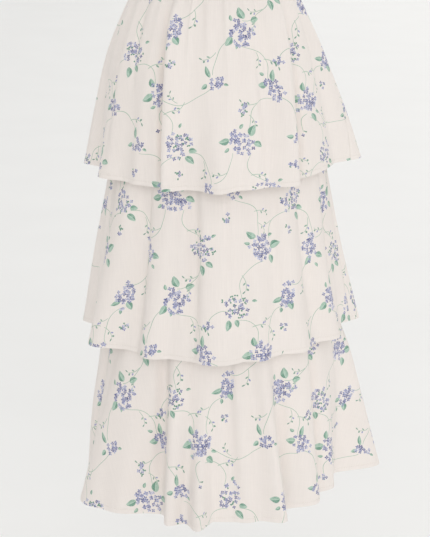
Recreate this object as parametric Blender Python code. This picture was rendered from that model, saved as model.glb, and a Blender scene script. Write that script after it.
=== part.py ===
"""Three-tier ruffle skirt with an elasticated waistband, worn open and hollow, without its wearer.

Units are metres, +Z is up and the front faces -Y.  The origin is the centre of the waist, level
with the top edge of the waistband.  A bearing goes round the body in degrees: 0 is centre front,
+90 the side seam at +X, -90 the side seam at -X and 180 centre back.

Every piece is one panel of cloth: a wall between an outer and an inner skin.  A panel is a flat
grid that is extruded once and then shaped, point by point, from the piece's two tables: LEVELS
gives its size at a few heights, and FOLDS the large waves that hang from its seam to its hem.
"""

import math
from typing import NamedTuple

import bmesh
import bpy

MM = 0.001

# ---------------------------------------------------------------- driving dimensions
CLOTH = 1.5 * MM            # wall of a tier
LINING_CLOTH = 1.2 * MM     # wall of the underskirt
SEAM_GAP = 0.3 * MM         # two pieces sewn together stay this far apart
WAISTBAND = 35 * MM         # height of the waistband
BAND_WALL = LINING_CLOTH + SEAM_GAP + CLOTH    # the casing covers both edges sewn into it
SEWN_ON = LINING_CLOTH / 2 + SEAM_GAP + CLOTH / 2    # from the underskirt's middle to a tier's
TIER_2_SEAM = -0.275        # height of the line where the middle tier is sewn on
TIER_3_SEAM = -0.540        # height of the line where the lowest tier is sewn on
SEAM_ALLOWANCE = 12 * MM    # the underskirt ends this far below its last seam
SIDE_SEAM = 90.0            # bearing of the side seams
STEP = 0.25                 # bearing step, in degrees, for the direction of a section's outline
ARC_STEPS = 360             # steps in which the length of a panel's hem is measured
SEWN_FLAT = 0.12            # share of the drop over which the seam still holds the folds flat
FLARE = 1.25                # the folds deepen with this power of the drop
CREASE = math.radians(50)   # edges sharper than this are shaded sharp


class Level(NamedTuple):
    """Size of a piece at one height: the valley floor that its folds stand on."""

    height: float           # z
    left: float             # reach towards -X
    right: float            # reach towards +X
    front: float            # reach towards -Y
    back: float             # reach towards +Y
    slack: float            # share by which the diagonals fall in from an ellipse
    gather: float           # height of the small gathers
    hitch: float            # how far the +X side hangs higher than the rest


class Fold(NamedTuple):
    """One large wave of a tier, from its seam to its hem."""

    seam: float             # bearing of the crest at the seam
    hem: float              # bearing of the crest at the hem
    spread: float           # degrees from the crest to either valley
    out: float              # how far the crest stands out at the hem
    lean: float             # how far the crest leans over towards +bearing at the hem
    start: float            # share of the drop above it; below 0 it is deep from the seam


class Piece(NamedTuple):
    """A tube of cloth, cut as a front and a back panel."""

    name: str
    levels: tuple
    folds: tuple
    wall: float
    columns: int            # steps across each panel
    splits: int             # steps between two levels
    gathers: int            # small gathers in each panel


# ---------------------------------------------------------------- tables
#          height  left    right   front   back    slack  gather    hitch
BAND_LEVELS = (
    Level(0.0000, 0.1245, 0.1195, 0.0970, 0.0990, 0.000, 0.4 * MM, 0.0),
    Level(-0.0175, 0.1250, 0.1200, 0.0975, 0.0995, 0.000, 2.2 * MM, 0.0),
    Level(-WAISTBAND, 0.1255, 0.1205, 0.0980, 0.1000, 0.000, 0.4 * MM, 0.0),
)
TIER_1_LEVELS = (
    Level(-WAISTBAND - SEAM_GAP, 0.1265, 0.1215, 0.0990, 0.1010, 0.000, 2.4 * MM, 0.0),
    Level(-0.075, 0.1430, 0.1330, 0.1190, 0.1220, 0.000, 4.6 * MM, 0.0),
    Level(-0.150, 0.1695, 0.1595, 0.1420, 0.1490, 0.015, 3.0 * MM, 0.0),
    Level(-0.245, 0.1855, 0.1805, 0.1610, 0.1680, 0.030, 1.2 * MM, 0.004),
    Level(-0.345, 0.1965, 0.1960, 0.1780, 0.1840, 0.040, 0.0 * MM, 0.014),
)
TIER_2_LEVELS = (
    Level(TIER_2_SEAM, 0.1665, 0.1675, 0.1440, 0.1500, 0.000, 2.4 * MM, 0.0),
    Level(-0.312, 0.1705, 0.1725, 0.1490, 0.1560, 0.010, 3.6 * MM, 0.0),
    Level(-0.385, 0.1810, 0.1810, 0.1620, 0.1700, 0.025, 2.4 * MM, 0.002),
    Level(-0.495, 0.1970, 0.1930, 0.1810, 0.1880, 0.035, 1.0 * MM, 0.005),
    Level(-0.620, 0.2090, 0.2095, 0.2020, 0.2070, 0.035, 0.0 * MM, 0.009),
)
TIER_3_LEVELS = (
    Level(TIER_3_SEAM, 0.1890, 0.1880, 0.1690, 0.1750, 0.000, 2.4 * MM, 0.0),
    Level(-0.580, 0.1925, 0.1925, 0.1730, 0.1800, 0.010, 2.8 * MM, 0.0),
    Level(-0.660, 0.2000, 0.2065, 0.1850, 0.1930, 0.020, 1.8 * MM, 0.003),
    Level(-0.765, 0.2160, 0.2090, 0.2030, 0.2130, 0.030, 1.0 * MM, 0.006),
    Level(-0.885, 0.2260, 0.2070, 0.2240, 0.2340, 0.030, 0.0 * MM, 0.010),
)


def sewn_under(level: Level) -> Level:
    """The underskirt's level under a tier's seam, just clear of the tier's inner skin."""
    return level._replace(
        left=level.left - SEWN_ON, right=level.right - SEWN_ON,
        front=level.front - SEWN_ON, back=level.back - SEWN_ON, gather=0.0)


UNDERSKIRT_LEVELS = (
    sewn_under(TIER_1_LEVELS[0]),
    Level(-0.090, 0.1410, 0.1320, 0.1180, 0.1230, 0.000, 0.0 * MM, 0.0),
    Level(-0.180, 0.1560, 0.1560, 0.1370, 0.1430, 0.000, 0.0 * MM, 0.0),
    sewn_under(TIER_2_LEVELS[0]),
    Level(-0.410, 0.1715, 0.1730, 0.1540, 0.1600, 0.000, 0.0 * MM, 0.0),
    sewn_under(TIER_3_LEVELS[0]),
    sewn_under(TIER_3_LEVELS[0])._replace(height=TIER_3_SEAM - SEAM_ALLOWANCE),
)

#      seam     hem  spread       out       lean  start
TIER_1_FOLDS = (
    Fold(-96.0, -102.0, 9.0, 37 * MM, 0 * MM, 0.0),
    Fold(-62.0, -69.0, 14.0, 14 * MM, 0 * MM, 0.0),
    Fold(-43.0, -46.0, 7.0, 5 * MM, 0 * MM, -0.6),
    Fold(-29.0, -22.5, 7.5, 23 * MM, -9 * MM, -0.9),
    Fold(0.0, 1.0, 12.0, 24 * MM, 0 * MM, 0.45),
    Fold(19.0, 21.0, 11.0, 7 * MM, 0 * MM, -0.3),
    Fold(45.0, 36.0, 11.0, 29 * MM, 8 * MM, -0.6),
    Fold(84.0, 98.0, 17.0, 50 * MM, 0 * MM, 0.0),
    Fold(122.0, 129.0, 13.0, 18 * MM, 0 * MM, 0.0),
    Fold(150.0, 155.0, 12.0, 22 * MM, -3 * MM, -0.2),
    Fold(178.0, 180.0, 13.0, 17 * MM, 0 * MM, 0.1),
    Fold(-153.0, -157.0, 12.0, 23 * MM, 3 * MM, -0.2),
    Fold(-126.0, -130.0, 12.0, 16 * MM, 0 * MM, 0.0),
)
TIER_2_FOLDS = (
    Fold(-96.0, -99.0, 9.0, 26 * MM, 0 * MM, 0.0),
    Fold(-58.0, -62.0, 15.0, 36 * MM, 0 * MM, 0.0),
    Fold(-31.0, -32.0, 11.0, 17 * MM, 0 * MM, -0.1),
    Fold(-2.0, 0.0, 15.0, 18 * MM, 0 * MM, 0.0),
    Fold(19.0, 19.0, 9.0, 10 * MM, 2 * MM, 0.0),
    Fold(41.0, 42.0, 11.0, 14 * MM, 0 * MM, 0.0),
    Fold(62.0, 65.0, 11.0, 19 * MM, 0 * MM, 0.1),
    Fold(93.0, 96.0, 12.5, 37 * MM, 0 * MM, 0.0),
    Fold(121.0, 125.0, 13.0, 19 * MM, 0 * MM, 0.0),
    Fold(149.0, 151.0, 12.0, 24 * MM, 3 * MM, -0.1),
    Fold(177.0, 178.0, 13.0, 18 * MM, 0 * MM, 0.1),
    Fold(-154.0, -155.0, 12.0, 23 * MM, -3 * MM, -0.1),
    Fold(-125.0, -128.0, 12.0, 20 * MM, 0 * MM, 0.0),
)
TIER_3_FOLDS = (
    Fold(-50.0, -56.0, 20.0, 50 * MM, 0 * MM, 0.0),
    Fold(-38.0, -40.0, 11.0, 24 * MM, 0 * MM, 0.2),
    Fold(-22.0, -17.0, 7.0, 32 * MM, -7 * MM, -0.1),
    Fold(-8.0, -7.5, 6.5, 40 * MM, 2 * MM, 0.4),
    Fold(12.0, 14.0, 9.0, 15 * MM, 0 * MM, 0.1),
    Fold(22.0, 24.0, 8.0, 38 * MM, 8 * MM, 0.0),
    Fold(44.0, 45.0, 12.0, 25 * MM, 3 * MM, 0.0),
    Fold(63.0, 63.0, 9.0, 14 * MM, 0 * MM, 0.1),
    Fold(89.0, 91.0, 13.0, 79 * MM, 0 * MM, 0.0),
    Fold(120.0, 121.0, 13.0, 28 * MM, 0 * MM, 0.0),
    Fold(146.0, 147.0, 12.0, 31 * MM, -3 * MM, -0.1),
    Fold(172.0, 173.0, 13.0, 26 * MM, 0 * MM, 0.1),
    Fold(-161.0, -161.0, 12.0, 31 * MM, 3 * MM, -0.1),
    Fold(-134.0, -135.0, 12.0, 28 * MM, 0 * MM, 0.0),
    Fold(-110.0, -112.0, 10.0, 20 * MM, 0 * MM, 0.0),
)

#     name          levels             folds         wall          columns splits gathers
PIECES = (
    Piece("waistband", BAND_LEVELS, (), BAND_WALL, 60, 1, 12),
    Piece("underskirt", UNDERSKIRT_LEVELS, (), LINING_CLOTH, 24, 1, 0),
    Piece("tier_1", TIER_1_LEVELS, TIER_1_FOLDS, CLOTH, 60, 2, 12),
    Piece("tier_2", TIER_2_LEVELS, TIER_2_FOLDS, CLOTH, 60, 2, 12),
    Piece("tier_3", TIER_3_LEVELS, TIER_3_FOLDS, CLOTH, 60, 2, 12),
)
PANELS = {"front": (-SIDE_SEAM, SIDE_SEAM), "back": (SIDE_SEAM, 360.0 - SIDE_SEAM)}
SHADE = {"front": 1.0, "back": 0.97}    # the back panels are coloured a little darker
COLOURS = {
    "waistband": (0.83, 0.77, 0.72),
    "underskirt": (0.80, 0.75, 0.71),
    "tier_1": (0.84, 0.78, 0.74),
    "tier_2": (0.83, 0.77, 0.73),
    "tier_3": (0.82, 0.76, 0.72),
}


# ---------------------------------------------------------------- the shape of a tube of cloth
def slope(levels: tuple, index: int, column: int) -> float:
    """How fast one column of the table changes with height at a level."""
    above = levels[max(index - 1, 0)]
    below = levels[min(index + 1, len(levels) - 1)]
    return (below[column] - above[column]) / (below.height - above.height)


def level_at(levels: tuple, height: float) -> Level:
    """The table's sizes at any height, on a smooth curve through its rows."""
    index = 0
    while index < len(levels) - 2 and height < levels[index + 1].height:
        index += 1
    above, below = levels[index], levels[index + 1]
    span = below.height - above.height
    t = (height - above.height) / span
    values = [height]
    for column in range(1, len(Level._fields)):
        rise_a = slope(levels, index, column) * span
        rise_b = slope(levels, index + 1, column) * span
        change = below[column] - above[column]
        values.append(
            above[column] + t * rise_a
            + t * t * (3 * change - 2 * rise_a - rise_b)
            + t * t * t * (rise_a + rise_b - 2 * change))
    return Level(*values)


def turn(bearing: float, crest: float) -> float:
    """Degrees from a fold's crest to a bearing, the short way round."""
    return (bearing - crest + 180.0) % 360.0 - 180.0


def valley_floor(level: Level, bearing: float) -> float:
    """Distance from the middle to the cloth between the folds."""
    across, along = math.sin(math.radians(bearing)), math.cos(math.radians(bearing))
    side = level.right if across > 0 else level.left
    face = level.front if along > 0 else level.back
    ellipse = 1.0 / math.hypot(across / side, along / face)
    return ellipse * (1.0 - level.slack * math.sin(2 * math.radians(bearing)) ** 2)


def grown(fold: Fold, drop: float) -> float:
    """Share of a fold's full depth at a share of the drop from seam to hem."""
    share = max(0.0, (drop - fold.start) / (1.0 - fold.start))
    return share ** FLARE * min(1.0, drop / SEWN_FLAT)


def section(piece: Piece, level: Level, bearing: float, gather: float) -> tuple:
    """A point on the middle of the wall, as x and y, at one height.

    gather is how far, 0 to 1, the small gathers stand out here.
    """
    top, bottom = piece.levels[0].height, piece.levels[-1].height
    drop = (level.height - top) / (bottom - top)
    radius = valley_floor(level, bearing) + level.gather * gather
    aside = 0.0
    for fold in piece.folds:
        away = turn(bearing, fold.seam + (fold.hem - fold.seam) * drop) / fold.spread
        if abs(away) < 1.0:
            crest = grown(fold, drop) * (0.5 + 0.5 * math.cos(math.pi * away))
            radius += fold.out * crest
            aside += fold.lean * crest
    across, along = math.sin(math.radians(bearing)), math.cos(math.radians(bearing))
    return radius * across + aside * along, -radius * along + aside * across


def wall_point(piece: Piece, level: Level, bearing: float, gather: float, side: float) -> tuple:
    """A point of the panel: side is 0 on the inner skin and 1 on the outer one."""
    x, y = section(piece, level, bearing, gather)
    ax, ay = section(piece, level, bearing - STEP, gather)
    bx, by = section(piece, level, bearing + STEP, gather)
    length = math.hypot(bx - ax, by - ay)
    offset = (side - 0.5) * piece.wall / length
    lift = level.hitch * max(0.0, math.sin(math.radians(bearing))) ** 2
    return x + (by - ay) * offset, y - (bx - ax) * offset, level.height + lift


def cloth_bearings(piece: Piece, start: float, end: float) -> list:
    """Bearings of a panel's columns, evenly spaced along the cloth of its hem."""
    hem = piece.levels[-1]
    gap = math.degrees(SEAM_GAP / 2 / valley_floor(hem, start))
    start, end = start + gap, end - gap
    bearings = [start + (end - start) * i / ARC_STEPS for i in range(ARC_STEPS + 1)]
    points = [section(piece, hem, bearing, 0.0) for bearing in bearings]
    lengths = [0.0]
    for before, after in zip(points, points[1:]):
        lengths.append(lengths[-1] + math.dist(before, after))
    columns = []
    index = 0
    for column in range(piece.columns + 1):
        wanted = lengths[-1] * column / piece.columns
        while index < ARC_STEPS - 1 and lengths[index + 1] < wanted:
            index += 1
        share = (wanted - lengths[index]) / (lengths[index + 1] - lengths[index])
        columns.append(bearings[index] + (bearings[index + 1] - bearings[index]) * share)
    return columns


def row_levels(piece: Piece) -> list:
    """The piece's sections from seam to hem: its levels, and the steps between them."""
    rows = [piece.levels[0]]
    for above, below in zip(piece.levels, piece.levels[1:]):
        for step in range(1, piece.splits + 1):
            share = step / piece.splits
            rows.append(level_at(piece.levels, above.height + (below.height - above.height) * share))
    return rows


def gather_wave(piece: Piece, column: int) -> float:
    """The small gathers across a panel, uneven in depth and flat at both side seams."""
    across = column / piece.columns
    uneven = 0.8 + 0.2 * math.sin(2 * math.pi * 3.5 * across)
    return uneven * (0.5 - 0.5 * math.cos(2 * math.pi * piece.gathers * across))


# ---------------------------------------------------------------- making the pieces
def cloth_material(name: str, colour: tuple) -> bpy.types.Material:
    """Matt printed cotton in the piece's mean colour."""
    material = bpy.data.materials.new(name)
    material.use_nodes = True
    surface = material.node_tree.nodes["Principled BSDF"]
    surface.inputs["Base Color"].default_value = (*colour, 1.0)
    surface.inputs["Roughness"].default_value = 0.85
    surface.inputs["Metallic"].default_value = 0.0
    return material


def make_panel(piece: Piece, panel: str) -> bpy.types.Object:
    """One panel as a closed wall: a flat grid, extruded once and then shaped."""
    rows = row_levels(piece)
    bearings = cloth_bearings(piece, *PANELS[panel])
    steps_down = len(rows) - 1
    mesh = bmesh.new()
    bmesh.ops.create_grid(mesh, x_segments=piece.columns, y_segments=steps_down, size=0.5)
    extruded = bmesh.ops.extrude_face_region(mesh, geom=mesh.faces[:], use_keep_orig=True)
    outer = [item for item in extruded["geom"] if isinstance(item, bmesh.types.BMVert)]
    bmesh.ops.translate(mesh, verts=outer, vec=(0.0, 0.0, 1.0))
    for vert in mesh.verts:
        column = round((vert.co.x + 0.5) * piece.columns)
        row = round((0.5 - vert.co.y) * steps_down)
        wave = gather_wave(piece, column) if piece.gathers else 0.0
        vert.co = wall_point(piece, rows[row], bearings[column], wave, vert.co.z)
    bmesh.ops.triangulate(mesh, faces=mesh.faces[:])
    bmesh.ops.recalc_face_normals(mesh, faces=mesh.faces[:])
    data = bpy.data.meshes.new(f"{piece.name}_{panel}")
    mesh.to_mesh(data)
    mesh.free()
    data.shade_smooth()
    data.set_sharp_from_angle(angle=CREASE)
    colour = tuple(channel * SHADE[panel] for channel in COLOURS[piece.name])
    data.materials.append(cloth_material(f"{piece.name}_{panel}_cloth", colour))
    made = bpy.data.objects.new(f"{piece.name}_{panel}", data)
    bpy.context.scene.collection.objects.link(made)
    return made


def main() -> None:
    """Clear the scene and make every panel of the skirt."""
    for old in list(bpy.data.objects):
        bpy.data.objects.remove(old, do_unlink=True)
    for piece in PIECES:
        for panel in PANELS:
            make_panel(piece, panel)


main()
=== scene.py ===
"""Looks of a long skirt with three ruffle tiers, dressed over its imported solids.

Units are metres, +Z is up and the front faces -Y.  The origin is the centre of the waist, level with
the top edge of the waistband.  A bearing goes round the body in degrees: 0 is centre front, +90 the
side seam at +X and 180 centre back.  Each panel is a thin shell of cloth on the form of its solid,
worked out from the same levels and folds, with finer gathers, creases, a stitched hem and a print.
"""

import logging
import math
from bisect import bisect_left
from collections.abc import Callable, Iterable, Iterator
from dataclasses import astuple, dataclass, replace
from enum import Enum
from functools import partial
from itertools import accumulate, chain, pairwise

import bmesh
import bpy
from mathutils import Matrix, Vector

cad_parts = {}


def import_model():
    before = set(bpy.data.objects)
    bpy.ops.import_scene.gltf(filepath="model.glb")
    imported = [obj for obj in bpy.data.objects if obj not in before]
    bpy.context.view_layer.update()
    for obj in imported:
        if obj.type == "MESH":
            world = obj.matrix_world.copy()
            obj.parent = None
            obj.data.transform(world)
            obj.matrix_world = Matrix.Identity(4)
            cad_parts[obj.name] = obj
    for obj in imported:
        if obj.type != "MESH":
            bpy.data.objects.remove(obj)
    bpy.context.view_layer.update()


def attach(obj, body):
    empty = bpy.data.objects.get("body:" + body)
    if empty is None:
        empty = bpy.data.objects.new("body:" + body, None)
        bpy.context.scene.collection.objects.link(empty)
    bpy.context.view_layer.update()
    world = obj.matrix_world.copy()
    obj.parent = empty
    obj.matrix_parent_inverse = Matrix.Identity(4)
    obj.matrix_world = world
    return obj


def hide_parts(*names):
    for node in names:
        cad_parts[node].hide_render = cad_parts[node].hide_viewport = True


LOG = logging.getLogger("skirt")
BODY = "root"               # cloth has no joints, so there is one body
MM = 0.001
Socket = bpy.types.NodeSocket
Material = bpy.types.Material
Piece = bpy.types.Object
Adder = Callable[..., Socket]           # adds a node to one tree
Layer = tuple[Socket, object]           # how much of an ink shows, and the ink
Wave = tuple[float, float, float]       # height, number in a panel, and phase in radians

# driving dimensions of the skirt, as its solids have them
CLOTH = 1.5 * MM            # wall of a tier's solid
LINING_CLOTH = 1.2 * MM     # wall of the underskirt's solid
SEAM_GAP = 0.3 * MM         # two pieces sewn together stay this far apart
WAISTBAND = 35 * MM
SEWN_ON = LINING_CLOTH / 2 + SEAM_GAP + CLOTH / 2
TIER_2_SEAM = -0.275
TIER_3_SEAM = -0.540
SEAM_ALLOWANCE = 12 * MM
SEWN_FLAT = 0.12            # share of the drop over which the seam holds the folds flat
FLARE = 1.25                # the folds deepen with this power of the drop
ARC_STEPS = 360             # steps in which the length of a hem is measured

# the thin cloth of the shells
SHEER = 0.5 * MM            # one layer of the printed cotton, with its nap
HEM = 8.0 * MM              # depth of the narrow turned hem
HEM_LAYERS = 1.0 * MM       # thickness where the hem is turned twice
HEM_STITCHING = HEM - 1.2 * MM
EDGE_STITCHING = 5.0 * MM   # on the underskirt's raw edge
STITCH_PITCH = 3.2 * MM     # from one stitch to the next
STITCH_LENGTH = 2.3 * MM
THREAD = 0.4 * MM
SIDE_SEAM_DIP = 0.9 * MM    # the cloth dips this far into a side seam
SIDE_SEAM_WIDTH = 3.0 * MM
TOP_SEAM_DIP = 0.6 * MM     # and this far where it is sewn on at its top
TOP_SEAM_DEPTH = 5.0 * MM
AIR = 1.0 * MM              # between the middles of a tier and of the underskirt, at the least
SOFT_EDGE = 60.0            # degrees past which an edge of cloth is shaded sharp
NEVER_SHARP = 180.0

# how unevenly the cloth is gathered
GATHER_HEIGHTS = ((0.2, 3.5, 0.0),)
CRIMP_DRIFT = ((0.30, 3.0, 0.8), (0.22, 7.0, 2.1))
CRIMP_HEIGHTS = ((0.30, 5.3, 1.0), (0.15, 11.7, 0.0))
CRIMP_REACH = ((0.14, 4.1, 0.4),)
FLUTTER_DRIFT = ((0.4, 1.7, 0.0),)
PUCKER_DRIFT = ((0.35, 4.0, 0.5), (0.18, 9.0, 0.0))
PUCKER_HEIGHTS = ((0.3, 6.3, 1.2),)
CRIMP_DROP = 0.20           # share of the drop over which the crimps fade, on average
CRIMP_HELD = 0.035          # share of the drop over which the seam holds the gathers flat
GATHER_ENDS = 12.0          # the gathers fade over one part in this many at a panel's ends
PUCKER_ENDS = 30.0


# ---------------------------------------------------------------- shape of a tube of cloth
class Side(Enum):
    """The two panels of a tube, each with the bearings of its side seams."""

    FRONT = ("front", -90.0, 90.0)
    BACK = ("back", 90.0, 270.0)

    def __init__(self, label: str, start: float, end: float) -> None:
        """Keep the panel's name and its two bearings."""
        self.label, self.start, self.end = label, start, end

    def bearings(self, radius: float) -> tuple[float, float]:
        """The bearings between which a panel runs, half a seam's gap inside its side seams."""
        gap = math.degrees(SEAM_GAP / 2 / radius)
        return self.start + gap, self.end - gap


@dataclass(frozen=True)
class Level:
    """Size of a tube at one height: the valley floor that its folds stand on."""

    height: float
    left: float
    right: float
    front: float
    back: float
    slack: float            # share by which the diagonals fall in from an ellipse
    gather: float           # height of the small gathers
    hitch: float            # how far the +X side hangs higher than the rest

    def under(self) -> "Level":
        """The underskirt's level below a tier's seam, just clear of the tier."""
        return replace(self, left=self.left - SEWN_ON, right=self.right - SEWN_ON,
                       front=self.front - SEWN_ON, back=self.back - SEWN_ON, gather=0.0)


@dataclass(frozen=True)
class Fold:
    """One large wave of a tier, from its seam to its hem."""

    seam: float             # bearing of the crest at the seam
    hem: float              # bearing of the crest at the hem
    spread: float           # degrees from the crest to either valley
    out: float              # mm that the crest stands out at the hem
    lean: float             # mm that the crest leans towards +bearing at the hem
    start: float            # share of the drop above it; below 0 it is deep from the seam


@dataclass(frozen=True)
class Crease:
    """One soft crease: a trough where its depth is above 0, and a ridge below it."""

    top_bearing: float
    top: float              # height of its upper end
    foot_bearing: float
    foot: float             # height of its lower end
    width: float            # mm from its middle to where it has faded
    depth: float            # mm

    def push(self, bearing: float, height: float, radius: float) -> float:
        """How far the crease moves the cloth outwards at a place.

        Args:
            bearing: Where the place is, round the body.
            height: Its height.
            radius: Its distance from the middle.

        Returns:
            Metres outwards; below 0 in a trough.
        """
        along = (self.top - height) / (self.top - self.foot)
        if not 0.0 < along < 1.0:
            return 0.0
        middle = self.top_bearing + (self.foot_bearing - self.top_bearing) * along
        away = math.radians(turn(bearing, middle)) * radius / (self.width * MM)
        if abs(away) > 3.0:
            return 0.0
        return -self.depth * MM * math.sin(math.pi * along) ** 0.7 * math.exp(-away * away)


def turn(bearing: float, crest: float) -> float:
    """Degrees from a crest to a bearing, the short way round."""
    return (bearing - crest + 180.0) % 360.0 - 180.0


def drift(share: float, waves: tuple[Wave, ...]) -> float:
    """The sum of some waves at a share of the way across a panel."""
    return sum(height * math.sin(math.tau * count * share + phase) for height, count, phase in waves)


@dataclass(frozen=True)
class Tube:
    """A tube of cloth that hangs from a seam, cut as a front and a back panel."""

    levels: tuple[Level, ...]
    folds: tuple[Fold, ...] = ()
    creases: tuple[Crease, ...] = ()
    gathers: int = 0        # gathers in each panel, which its solid has too
    crimps: int = 0         # finer gathers in each panel
    crimp: float = 0.0      # their height at the seam
    flutter: float = 0.0    # height of the small waves along the hem
    waves: float = 0.0      # small waves along the hem of each panel

    def slopes(self, index: int) -> list[float]:
        """How fast each size changes with height at a level.

        Args:
            index: Which level.

        Returns:
            The slope of each size.
        """
        above = self.levels[max(index - 1, 0)]
        below = self.levels[min(index + 1, len(self.levels) - 1)]
        span = below.height - above.height
        return [(end - start) / span for start, end in zip(astuple(above)[1:], astuple(below)[1:])]

    def level_at(self, height: float) -> Level:
        """The sizes at any height, on a smooth curve through the levels.

        Args:
            height: The height.

        Returns:
            The level there.
        """
        index = sum(height < level.height for level in self.levels[1:-1])
        above, below = self.levels[index], self.levels[index + 1]
        span = below.height - above.height
        t = (height - above.height) / span
        sizes = []
        for start, end, rise, fall in zip(astuple(above)[1:], astuple(below)[1:],
                                          self.slopes(index), self.slopes(index + 1)):
            rise, fall = rise * span, fall * span
            sizes.append(start + t * rise + t * t * (3 * (end - start) - 2 * rise - fall)
                         + t ** 3 * (rise + fall - 2 * (end - start)))
        return Level(height, *sizes)

    def drop(self, height: float) -> float:
        """Share of the way from the seam to the hem."""
        top, bottom = self.levels[0].height, self.levels[-1].height
        return (height - top) / (bottom - top)

    def section(self, level: Level, bearing: float, gather: float) -> Vector:
        """A point on the middle of the cloth.

        Args:
            level: The tube's sizes at the point's height.
            bearing: Where the point is, round the body.
            gather: Metres that the gathers and small waves add here.

        Returns:
            The point.
        """
        across, along = math.sin(math.radians(bearing)), math.cos(math.radians(bearing))
        side = level.right if across > 0 else level.left
        face = level.front if along > 0 else level.back
        radius = 1.0 / math.hypot(across / side, along / face)
        radius = radius * (1.0 - level.slack * math.sin(2 * math.radians(bearing)) ** 2) + gather
        aside, drop = 0.0, self.drop(level.height)
        for fold in self.folds:
            away = turn(bearing, fold.seam + (fold.hem - fold.seam) * drop) / fold.spread
            if abs(away) < 1.0:
                share = max(0.0, (drop - fold.start) / (1.0 - fold.start)) ** FLARE
                crest = share * min(1.0, drop / SEWN_FLAT) * (0.5 + 0.5 * math.cos(math.pi * away))
                radius += fold.out * MM * crest
                aside += fold.lean * MM * crest
        height = level.height + level.hitch * max(0.0, across) ** 2
        return Vector((radius * across + aside * along, aside * across - radius * along, height))

    def gather_wave(self, share: float, level: Level) -> float:
        """Metres that the gathers, the crimps and the hem's small waves stand out.

        Args:
            share: Share of the way across the panel.
            level: The tube's sizes at this height.

        Returns:
            Metres outwards.
        """
        drop = self.drop(level.height)
        edge = min(1.0, GATHER_ENDS * min(share, 1.0 - share))
        held = 0.25 + 0.75 * min(1.0, drop / CRIMP_HELD)
        gather = level.gather * (0.8 + drift(share, GATHER_HEIGHTS))
        gather *= 0.5 - 0.5 * math.cos(math.tau * self.gathers * share)
        phase = self.crimps * share + drift(share, CRIMP_DRIFT)
        crimp = self.crimp * edge * (0.55 + drift(share, CRIMP_HEIGHTS))
        crimp *= math.exp(-drop / (CRIMP_DROP + drift(share, CRIMP_REACH)))
        crimp *= 0.5 - 0.5 * math.cos(math.tau * phase)
        ripple = math.sin(math.tau * (self.waves * share + drift(share, FLUTTER_DRIFT)))
        return (gather + crimp) * held + self.flutter * edge * drop ** 4 * ripple


# ---------------------------------------------------------------- tables of the skirt's cloth
#         height  left    right   front   back    slack  gather      hitch
TIER_1_LEVELS = (
    Level(-WAISTBAND - SEAM_GAP, 0.1265, 0.1215, 0.0990, 0.1010, 0.000, 2.4 * MM, 0.000),
    Level(-0.075, 0.1430, 0.1330, 0.1190, 0.1220, 0.000, 4.6 * MM, 0.000),
    Level(-0.150, 0.1695, 0.1595, 0.1420, 0.1490, 0.015, 3.0 * MM, 0.000),
    Level(-0.245, 0.1855, 0.1805, 0.1610, 0.1680, 0.030, 1.2 * MM, 0.004),
    Level(-0.345, 0.1965, 0.1960, 0.1780, 0.1840, 0.040, 0.0 * MM, 0.014),
)
TIER_2_LEVELS = (
    Level(TIER_2_SEAM, 0.1665, 0.1675, 0.1440, 0.1500, 0.000, 2.4 * MM, 0.000),
    Level(-0.312, 0.1705, 0.1725, 0.1490, 0.1560, 0.010, 3.6 * MM, 0.000),
    Level(-0.385, 0.1810, 0.1810, 0.1620, 0.1700, 0.025, 2.4 * MM, 0.002),
    Level(-0.495, 0.1970, 0.1930, 0.1810, 0.1880, 0.035, 1.0 * MM, 0.005),
    Level(-0.620, 0.2090, 0.2095, 0.2020, 0.2070, 0.035, 0.0 * MM, 0.009),
)
TIER_3_LEVELS = (
    Level(TIER_3_SEAM, 0.1890, 0.1880, 0.1690, 0.1750, 0.000, 2.4 * MM, 0.000),
    Level(-0.580, 0.1925, 0.1925, 0.1730, 0.1800, 0.010, 2.8 * MM, 0.000),
    Level(-0.660, 0.2000, 0.2065, 0.1850, 0.1930, 0.020, 1.8 * MM, 0.003),
    Level(-0.765, 0.2160, 0.2090, 0.2030, 0.2130, 0.030, 1.0 * MM, 0.006),
    Level(-0.885, 0.2260, 0.2070, 0.2240, 0.2340, 0.030, 0.0 * MM, 0.010),
)
UNDERSKIRT_LEVELS = (
    TIER_1_LEVELS[0].under(),
    Level(-0.090, 0.1410, 0.1320, 0.1180, 0.1230, 0.000, 0.0, 0.0),
    Level(-0.180, 0.1560, 0.1560, 0.1370, 0.1430, 0.000, 0.0, 0.0),
    TIER_2_LEVELS[0].under(),
    Level(-0.410, 0.1715, 0.1730, 0.1540, 0.1600, 0.000, 0.0, 0.0),
    TIER_3_LEVELS[0].under(),
    replace(TIER_3_LEVELS[0].under(), height=TIER_3_SEAM - SEAM_ALLOWANCE),
)

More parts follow.
